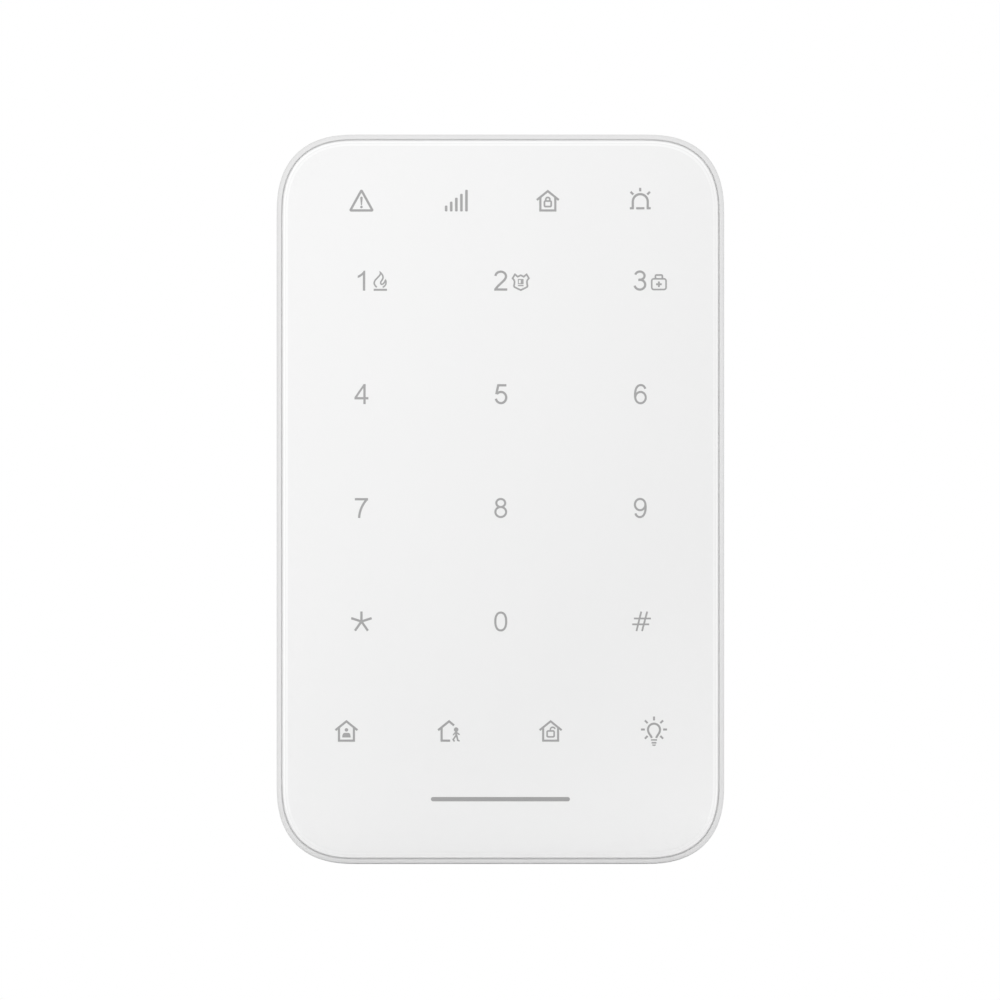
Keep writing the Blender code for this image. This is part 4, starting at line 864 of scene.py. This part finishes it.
def chip_black(name, dot_x, dot_z):
    """A moulded chip with a matt top and a moulded dot beside its first leg."""
    material, tree, shader, where = new_finish(name)
    grit = cloud(tree, where, 0.18, 4.0, 0.6)
    middle = (dot_x * MM, 0.0, dot_z * MM)
    flat = node(tree, "ShaderNodeMapping", {"Vector": where, "Scale": (1.0, 0.0, 1.0)}).outputs["Vector"]
    reach = node(tree, "ShaderNodeVectorMath", {0: flat, 1: middle}, operation="DISTANCE").outputs["Value"]
    dot = spread(tree, reach, 0.34 * MM, 0.38 * MM, 1.0, 0.0)
    base = tint(tree, grit, (0.012, 0.012, 0.013, 1.0), (0.030, 0.030, 0.031, 1.0))
    base = tint(tree, dot, base, (0.055, 0.055, 0.056, 1.0))
    rough = spread(tree, combined(tree, grit, dot, "SUBTRACT"), -0.5, 0.7, 0.28, 0.62)
    relief = combined(tree, grit, combined(tree, dot, 4.0), "SUBTRACT")
    surface(tree, shader, base, rough, bumped(tree, relief, 0.012, softened(tree, 0.10)[0]))
    return material


def foam(name, colour):
    """Closed-cell foam tape."""
    material, tree, shader, where = new_finish(name)
    bubbles = cells(tree, where, 0.22)
    tone = cloud(tree, where, 4.0, 3.0)
    base = tint(tree, tone, shade(colour, 0.8), shade(colour, 1.25))
    # Darker at the middle of each cell, where the bump sinks: painted shade in the pits
    base = tint(tree, spread(tree, bubbles, 0.0, 0.5, 0.6, 0.0), base, shade(colour, 0.4))
    surface(tree, shader, base, spread(tree, bubbles, 0.0, 0.7, 0.95, 0.75), bumped(tree, bubbles, 0.06))
    return material


def lamp_lens(name):
    """A lamp: pale phosphor in a clear lens inside a white cup."""
    material, tree, shader, where = new_finish(name)
    powder = cloud(tree, where, 0.12, 4.0, 0.6)
    direction, edges = softened(tree, 0.12)
    base = tint(tree, powder, (0.82, 0.74, 0.42, 1.0), (0.90, 0.84, 0.60, 1.0))
    base = tint(tree, edges, base, (0.90, 0.90, 0.88, 1.0))
    rough = spread(tree, powder, 0.3, 0.7, 0.18, 0.34)
    surface(tree, shader, base, rough, bumped(tree, powder, 0.01, direction))
    shader.inputs["Coat Weight"].default_value = 0.6
    return material


def reflection_card(name, brightest):
    """A glowing card, brightest at its upper left, with a little more glow along its foot."""
    material, tree, shader, where = new_finish(name)
    tree.nodes.remove(shader)
    corner = combined(tree, along(tree, where, "Z"), along(tree, where, "X"), "SUBTRACT")
    glow = spread(tree, corner, -53.0 * MM, 100.0 * MM, 0.0, brightest)
    low = spread(tree, along(tree, where, "Z"), -80.0 * MM, 80.0 * MM, 1.69, 0.31)
    right = spread(tree, along(tree, where, "X"), -48.0 * MM, 48.0 * MM, -0.27, 0.27)
    foot = spread(tree, along(tree, where, "Z"), -76.0 * MM, -52.0 * MM, 0.9, 0.0)
    glow = combined(tree, combined(tree, glow, low, "ADD"), combined(tree, right, foot, "ADD"), "ADD")
    lit = node(tree, "ShaderNodeEmission", {"Color": (1.0, 1.0, 1.0, 1.0), "Strength": glow})
    tree.links.new(lit.outputs[0], tree.nodes["Material Output"].inputs["Surface"])
    return material


def floor_plaster(name):
    """A smooth pale floor."""
    material, tree, shader, where = new_finish(name)
    trowel = cloud(tree, where, 90.0, 5.0, 0.55)
    sand = cloud(tree, where, 1.2, 3.0)
    base = tint(tree, trowel, (0.89, 0.89, 0.89, 1.0), (0.93, 0.93, 0.93, 1.0))
    surface(tree, shader, base, spread(tree, trowel, 0.3, 0.7, 0.60, 0.72), bumped(tree, sand, 0.03))
    return material


def dress(name, material, smooth_below=32.0):
    """Gives a part its finish. Its seams are joined and its curved faces shaded smooth."""
    part = NODES[name]
    part.material_slots[0].material = material
    if "custom_normal" in part.data.attributes:
        part.data.attributes.remove(part.data.attributes["custom_normal"])
    part.data.shade_smooth()
    part.modifiers.new("joined_seams", "WELD").merge_threshold = SEAM_WITHIN
    part.modifiers.new("crisp_edges", "EDGE_SPLIT").split_angle = math.radians(smooth_below)
    part.modifiers.new("even_faces", "WEIGHTED_NORMAL").weight = FACE_WEIGHT


def legend_ink():
    """The ink that every mark shares."""
    grey = bpy.context.scene.keypad_colours.legend
    found = bpy.data.materials.get("legend_ink")
    return found or grainy("legend_ink", shade(grey, 0.95), shade(grey, 1.05), 0.30, 3.0, 0.38, 0.50, 0.001)


def sheet(name, half, segments, lay, material):
    """Adds a square sheet to the stage. The function lay says where each of its points goes."""
    made = bmesh.new()
    bmesh.ops.create_grid(made, x_segments=segments, y_segments=segments, size=half)
    for vertex in made.verts:
        vertex.co = lay(vertex.co.x, vertex.co.y)
    mesh = finished(made, name)
    mesh.materials.append(material)
    laid = placed(name, mesh)
    return laid


# Operators, one for each piece or group of like pieces


class KEYPAD_OT_front_panel(Operator):
    """Make the touch panel with its polished edge, whose edge and step rings are painted lighter as a painted
    highlight
    """

    bl_idname = "keypad.front_panel"
    bl_label = "Touch Panel"

    def execute(self, context):
        sizes, white = context.scene.keypad_sizes, context.scene.keypad_colours.panel
        radius, step, seal = sizes.panel_round / MM, sizes.panel_step / MM, sizes.seal_reach / MM
        back, shoulder, ledge = PANEL_HIGH.y / MM, PANEL_FACE + step, (RIM_FRONT + sizes.seal_depth) / MM
        far, near = SEAL_BACK_ROUND, SEAL_FRONT_ROUND
        # Each pair is how far in from the outline and how deep
        profile = [(-seal + far, back), (-seal, back - far), (-seal, ledge + near), (-seal + near, ledge)]
        profile += [(-near, ledge), (0.0, ledge - near)]
        for turn in range(0, 91, 9):
            angle = math.radians(turn)
            profile.append((radius * (1 - math.cos(angle)), shoulder + ROUND_DEPTH * (1 - math.sin(angle))))
        step_start = radius + SHOULDER_WIDTH
        for share in (0.0, 0.2, 0.4, 0.6, 0.8, 1.0):
            rise = step * (1 - math.cos(math.pi * share)) / 2
            profile.append((step_start + STEP_WIDTH * share, shoulder - rise))
        profile += [(radius + inset, PANEL_FACE) for inset in FACE_RINGS]
        made = bmesh.new()
        rings = [
            [made.verts.new(Vector((x, y, z)) * MM) for x, z in keypad_outline(inset)] for inset, y in profile
        ]
        for number, (low, high) in enumerate(zip(rings, rings[1:])):
            inset = profile[number + 1][0]
            for index in range(len(low)):
                after = (index + 1) % len(low)
                face = made.faces.new((low[index], low[after], high[after], high[index]))
                # Slots 1 and 2, the rounded edge and the step, take lighter copies of the white: a painted
                # highlight
                if 0.0 < inset < radius + 0.01:
                    face.material_index = 1
                elif step_start + 0.01 < inset < radius + FACE_RINGS[0]:
                    face.material_index = 2
        made.faces.new(rings[-1])
        made.faces.new(reversed(rings[0]))
        bmesh.ops.recalc_face_normals(made, faces=made.faces)
        mesh = finished(made, "touch_panel")
        mesh.shade_smooth()
        # The edge and step rings are painted lighter than the face: a painted highlight
        for name, painted_highlight in (("panel_gloss", 1.0), ("panel_edge_painted_highlight", 1.10), ("panel_step", 1.06)):
            mesh.materials.append(panel_gloss(name, white, painted_highlight))
        panel = placed("touch_panel", mesh)
        panel.modifiers.new("even_faces", "WEIGHTED_NORMAL").weight = FACE_WEIGHT
        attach(panel, "keypad")
        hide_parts("front_panel")
        return {"FINISHED"}


class KEYPAD_OT_digits(Operator):
    """Print the twelve key digits"""

    bl_idname = "keypad.digits"
    bl_label = "Key Digits"

    def execute(self, context):
        shapes = digit_shapes(context.scene.keypad_sizes.digit_stroke / MM)
        for index, digit in enumerate(DIGITS):
            place = (DIGIT_COLUMNS[index % 3], DIGIT_ROWS[index // 3])
            print_mark(f"digit_{digit}", shapes[digit], place)
        return {"FINISHED"}


class KEYPAD_OT_key_symbols(Operator):
    """Print the flame, the badge and the first-aid case beside the first row of digits"""

    bl_idname = "keypad.key_symbols"
    bl_label = "Key Symbols"

    def execute(self, context):
        print_mark("symbol_flame", flame())
        print_mark("symbol_badge", badge())
        print_mark("symbol_first_aid", first_aid_case())
        return {"FINISHED"}


class KEYPAD_OT_indicators(Operator):
    """Print the four indicator symbols above the keys"""

    bl_idname = "keypad.indicators"
    bl_label = "Indicator Symbols"

    def execute(self, context):
        width = context.scene.keypad_sizes.symbol_stroke / MM
        print_mark("indicator_warning", warning_triangle(width + SYMBOL_HEAVIER))
        print_mark("indicator_signal", signal_bars())
        print_mark("indicator_locked_house", house_locked(width))
        print_mark("indicator_siren", siren(width + SYMBOL_HEAVIER))
        return {"FINISHED"}


class KEYPAD_OT_functions(Operator):
    """Print the four function symbols below the keys"""

    bl_idname = "keypad.functions"
    bl_label = "Function Symbols"

    def execute(self, context):
        width = context.scene.keypad_sizes.symbol_stroke / MM
        print_mark("function_stay", house_person(width))
        print_mark("function_leave", house_leaving(width))
        print_mark("function_unlock", house_open(width - SYMBOL_HEAVIER))
        print_mark("function_light", bulb())
        return {"FINISHED"}


class KEYPAD_OT_name_bar(Operator):
    """Print the plain bar below the keys"""

    bl_idname = "keypad.name_bar"
    bl_label = "Name Bar"

    def execute(self, context):
        half = context.scene.keypad_sizes.name_bar_length / MM / 2
        outline = box_outline(-half, half, -NAME_BAR_HALF_HEIGHT, NAME_BAR_HALF_HEIGHT)
        print_mark("name_bar", [plate(rounded(outline, NAME_BAR_HALF_HEIGHT - 0.01))])
        return {"FINISHED"}


class KEYPAD_OT_shells(Operator):
    """Finish the front and rear housings"""

    bl_idname = "keypad.shells"
    bl_label = "Housings"

    def execute(self, context):
        colour = context.scene.keypad_colours.case
        finish = moulded("case_satin", colour, 0.46, 0.34, 0.007, 0.16, clouding=0.012)
        dress("front_housing", finish)
        dress("rear_housing", finish)
        return {"FINISHED"}


class KEYPAD_OT_bracket(Operator):
    """Finish the wall bracket"""

    bl_idname = "keypad.bracket"
    bl_label = "Wall Bracket"

    def execute(self, context):
        colour = context.scene.keypad_colours.bracket
        dress("wall_bracket", moulded("bracket_matt", colour, 0.58, 0.55, 0.030, 0.18, clouding=0.03))
        return {"FINISHED"}


class KEYPAD_OT_layers(Operator):
    """Finish the tape, the film and the light shield behind the panel"""

    bl_idname = "keypad.layers"
    bl_label = "Tape, Film and Shield"

    def execute(self, context):
        dress("panel_adhesive", foam("tape_foam", (0.16, 0.16, 0.16)))
        dark, pale = (0.84, 0.84, 0.82, 1.0), (0.90, 0.90, 0.88, 1.0)
        dress("diffuser_film", grainy("film_frost", dark, pale, 0.25, 4.0, 0.50, 0.66, 0.01))
        shield = moulded("shield_matt", context.scene.keypad_colours.shield, 0.55, 0.40, 0.008, 0.12)
        dress("light_shield", shield)
        return {"FINISHED"}


class KEYPAD_OT_board(Operator):
    """Finish the board and what is soldered to it"""

    bl_idname = "keypad.board"
    bl_label = "Board"

    def execute(self, context):
        dress("main_board", circuit_board("board_mask", context.scene.keypad_colours.board))
        lens = lamp_lens("lamp_lens")
        for name in NODES:
            if name.startswith("lamp_"):
                dress(name, lens)
        for name in ("processor_chip", "touch_chip"):
            low, high = (Vector(corner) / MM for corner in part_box(name))
            dress(name, chip_black(f"{name}_black", low.x + 0.9, high.z - 0.9))
        dress("radio_can", brushed("can_tin", (0.66, 0.66, 0.65), 0.34, 0.20, (0.1, 1.0, 1.0)))
        dress("antenna", brushed("antenna_copper", (0.80, 0.42, 0.24), 0.30, 0.10, (0.1, 1.0, 1.0)))
        dress("buzzer", moulded("buzzer_black", (0.030, 0.030, 0.031), 0.42, 0.25, 0.006, 0.15))
        return {"FINISHED"}


class KEYPAD_OT_power(Operator):
    """Finish the battery cells, their contacts and the power switch"""

    bl_idname = "keypad.power"
    bl_label = "Battery Bay"

    def execute(self, context):
        colours = context.scene.keypad_colours
        for number in range(1, 5):
            low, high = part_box(f"battery_cell_{number}")
            upward = number % 2 == 1
            jacket = cell_jacket(f"cell_jacket_{number}", colours, low[2] / MM, high[2] / MM, upward)
            dress(f"battery_cell_{number}", jacket)
        wire = brushed("spring_nickel", (0.66, 0.65, 0.63), 0.22, 0.10, (1.0, 1.0, 1.0), rounding=0.05)
        for name in ("tamper_spring", *(f"battery_spring_{number}" for number in range(1, 5))):
            dress(name, wire, 60.0)
        plated = brushed("contact_nickel", (0.70, 0.68, 0.63), 0.30, 0.12, (0.08, 1.0, 1.0))
        for name in NODES:
            if name.startswith(("terminal_", "contact_link_")):
                dress(name, plated)
        black = moulded("switch_black", (0.035, 0.035, 0.036), 0.44, 0.25, 0.006, 0.12)
        dress("power_switch_body", black)
        dress("tamper_switch", black)
        dress("power_switch_slider", moulded("knob_grey", (0.30, 0.30, 0.31), 0.42, 0.25, 0.006, 0.15))
        dress("tamper_plunger", moulded("plunger_grey", (0.25, 0.25, 0.26), 0.40, 0.25, 0.005, 0.15))
        return {"FINISHED"}


class KEYPAD_OT_screws(Operator):
    """Finish the seven screws"""

    bl_idname = "keypad.screws"
    bl_label = "Screws"

    def execute(self, context):
        zinc = brushed("screw_zinc", (0.62, 0.63, 0.65), 0.28, 0.10, (1.0, 0.25, 1.0), spots=0.12)
        for name in NODES:
            if "_screw" in name:
                dress(name, zinc)
        return {"FINISHED"}


class KEYPAD_OT_stage(Operator):
    """Make the floor, the light and the camera"""

    bl_idname = "keypad.stage"
    bl_label = "Floor, Light and Camera"

    def execute(self, context):
        scene, settings = context.scene, context.scene.keypad_stage
        bottom = CAD_BOX[0][2] - FLOOR_GAP
        plaster = floor_plaster("floor_plaster")
        sheet("floor", settings.floor_reach / 2, 8, lambda x, y: (x, y, bottom), plaster)
        glow = reflection_card("card_glow", settings.card_light)
        card = sheet("card", CARD_HALF, 2, lambda x, z: (x, CARD_PLACE, z), glow)
        for kind in ("camera", "diffuse", "shadow", "transmission"):
            setattr(card, f"visible_{kind}", False)

        world = bpy.data.worlds.new("studio")
        world.use_nodes = True
        scene.world = world
        tree = world.node_tree
        tree.nodes.clear()
        room = node(tree, "ShaderNodeBackground", {"Color": (1, 1, 1, 1), "Strength": settings.room_light})
        backdrop = node(tree, "ShaderNodeBackground", {"Color": (1, 1, 1, 1), "Strength": 1.0})
        seen = node(tree, "ShaderNodeLightPath").outputs["Is Camera Ray"]
        mixed = node(tree, "ShaderNodeMixShader", {0: seen, 1: room.outputs[0], 2: backdrop.outputs[0]})
        node(tree, "ShaderNodeOutputWorld", {"Surface": mixed.outputs[0]})

        soft = bpy.data.lights.new("window_light", "AREA")
        soft.shape = "DISK"
        soft.size = LIGHT_WIDTH
        soft.energy = settings.window_light
        lamp = placed("window_light", soft)
        lamp.location = LIGHT_PLACE
        lamp.rotation_euler = (-lamp.location).to_track_quat("-Z", "Y").to_euler()
        lamp.visible_camera = False

        view = bpy.data.cameras.new("camera")
        view.type = "ORTHO"
        view.ortho_scale = VIEW_WIDTH
        view.clip_start = 0.01
        view.clip_end = 20.0
        camera = placed("camera", view)
        camera.location = VIEW_PLACE
        camera.rotation_euler = (math.radians(90), 0.0, 0.0)
        scene.camera = camera
        scene.view_settings.view_transform = "Standard"
        scene.view_settings.look = "None"
        return {"FINISHED"}


OPERATORS = (
    KEYPAD_OT_front_panel,
    KEYPAD_OT_digits,
    KEYPAD_OT_key_symbols,
    KEYPAD_OT_indicators,
    KEYPAD_OT_functions,
    KEYPAD_OT_name_bar,
    KEYPAD_OT_shells,
    KEYPAD_OT_bracket,
    KEYPAD_OT_layers,
    KEYPAD_OT_board,
    KEYPAD_OT_power,
    KEYPAD_OT_screws,
    KEYPAD_OT_stage,
)


class KEYPAD_PT_sidebar(Panel):
    """The keypad's pieces, sizes and colours"""

    bl_idname = "KEYPAD_PT_sidebar"
    bl_label = "Alarm Keypad"
    bl_space_type = "VIEW_3D"
    bl_region_type = "UI"
    bl_category = "Keypad"

    def draw(self, context):
        layout = self.layout
        for group in ("keypad_sizes", "keypad_colours", "keypad_stage"):
            settings = getattr(context.scene, group)
            column = layout.column(align=True)
            for name in settings.__annotations__:
                column.prop(settings, name)
        for operator in OPERATORS:
            layout.operator(operator.bl_idname)


GROUPS = {"keypad_sizes": KeypadSizes, "keypad_colours": KeypadColours, "keypad_stage": KeypadStage}


def register():
    for group in (*GROUPS.values(), *OPERATORS, KEYPAD_PT_sidebar):
        bpy.utils.register_class(group)
    for name, group in GROUPS.items():
        setattr(bpy.types.Scene, name, bpy.props.PointerProperty(type=group))


def unregister():
    for name in GROUPS:
        delattr(bpy.types.Scene, name)
    for group in reversed((*GROUPS.values(), *OPERATORS, KEYPAD_PT_sidebar)):
        bpy.utils.unregister_class(group)


def main():
    register()
    for operator in OPERATORS:
        getattr(bpy.ops.keypad, operator.bl_idname.split(".")[1])()
    bpy.context.view_layer.update()


if __name__ == "__main__":
    main()
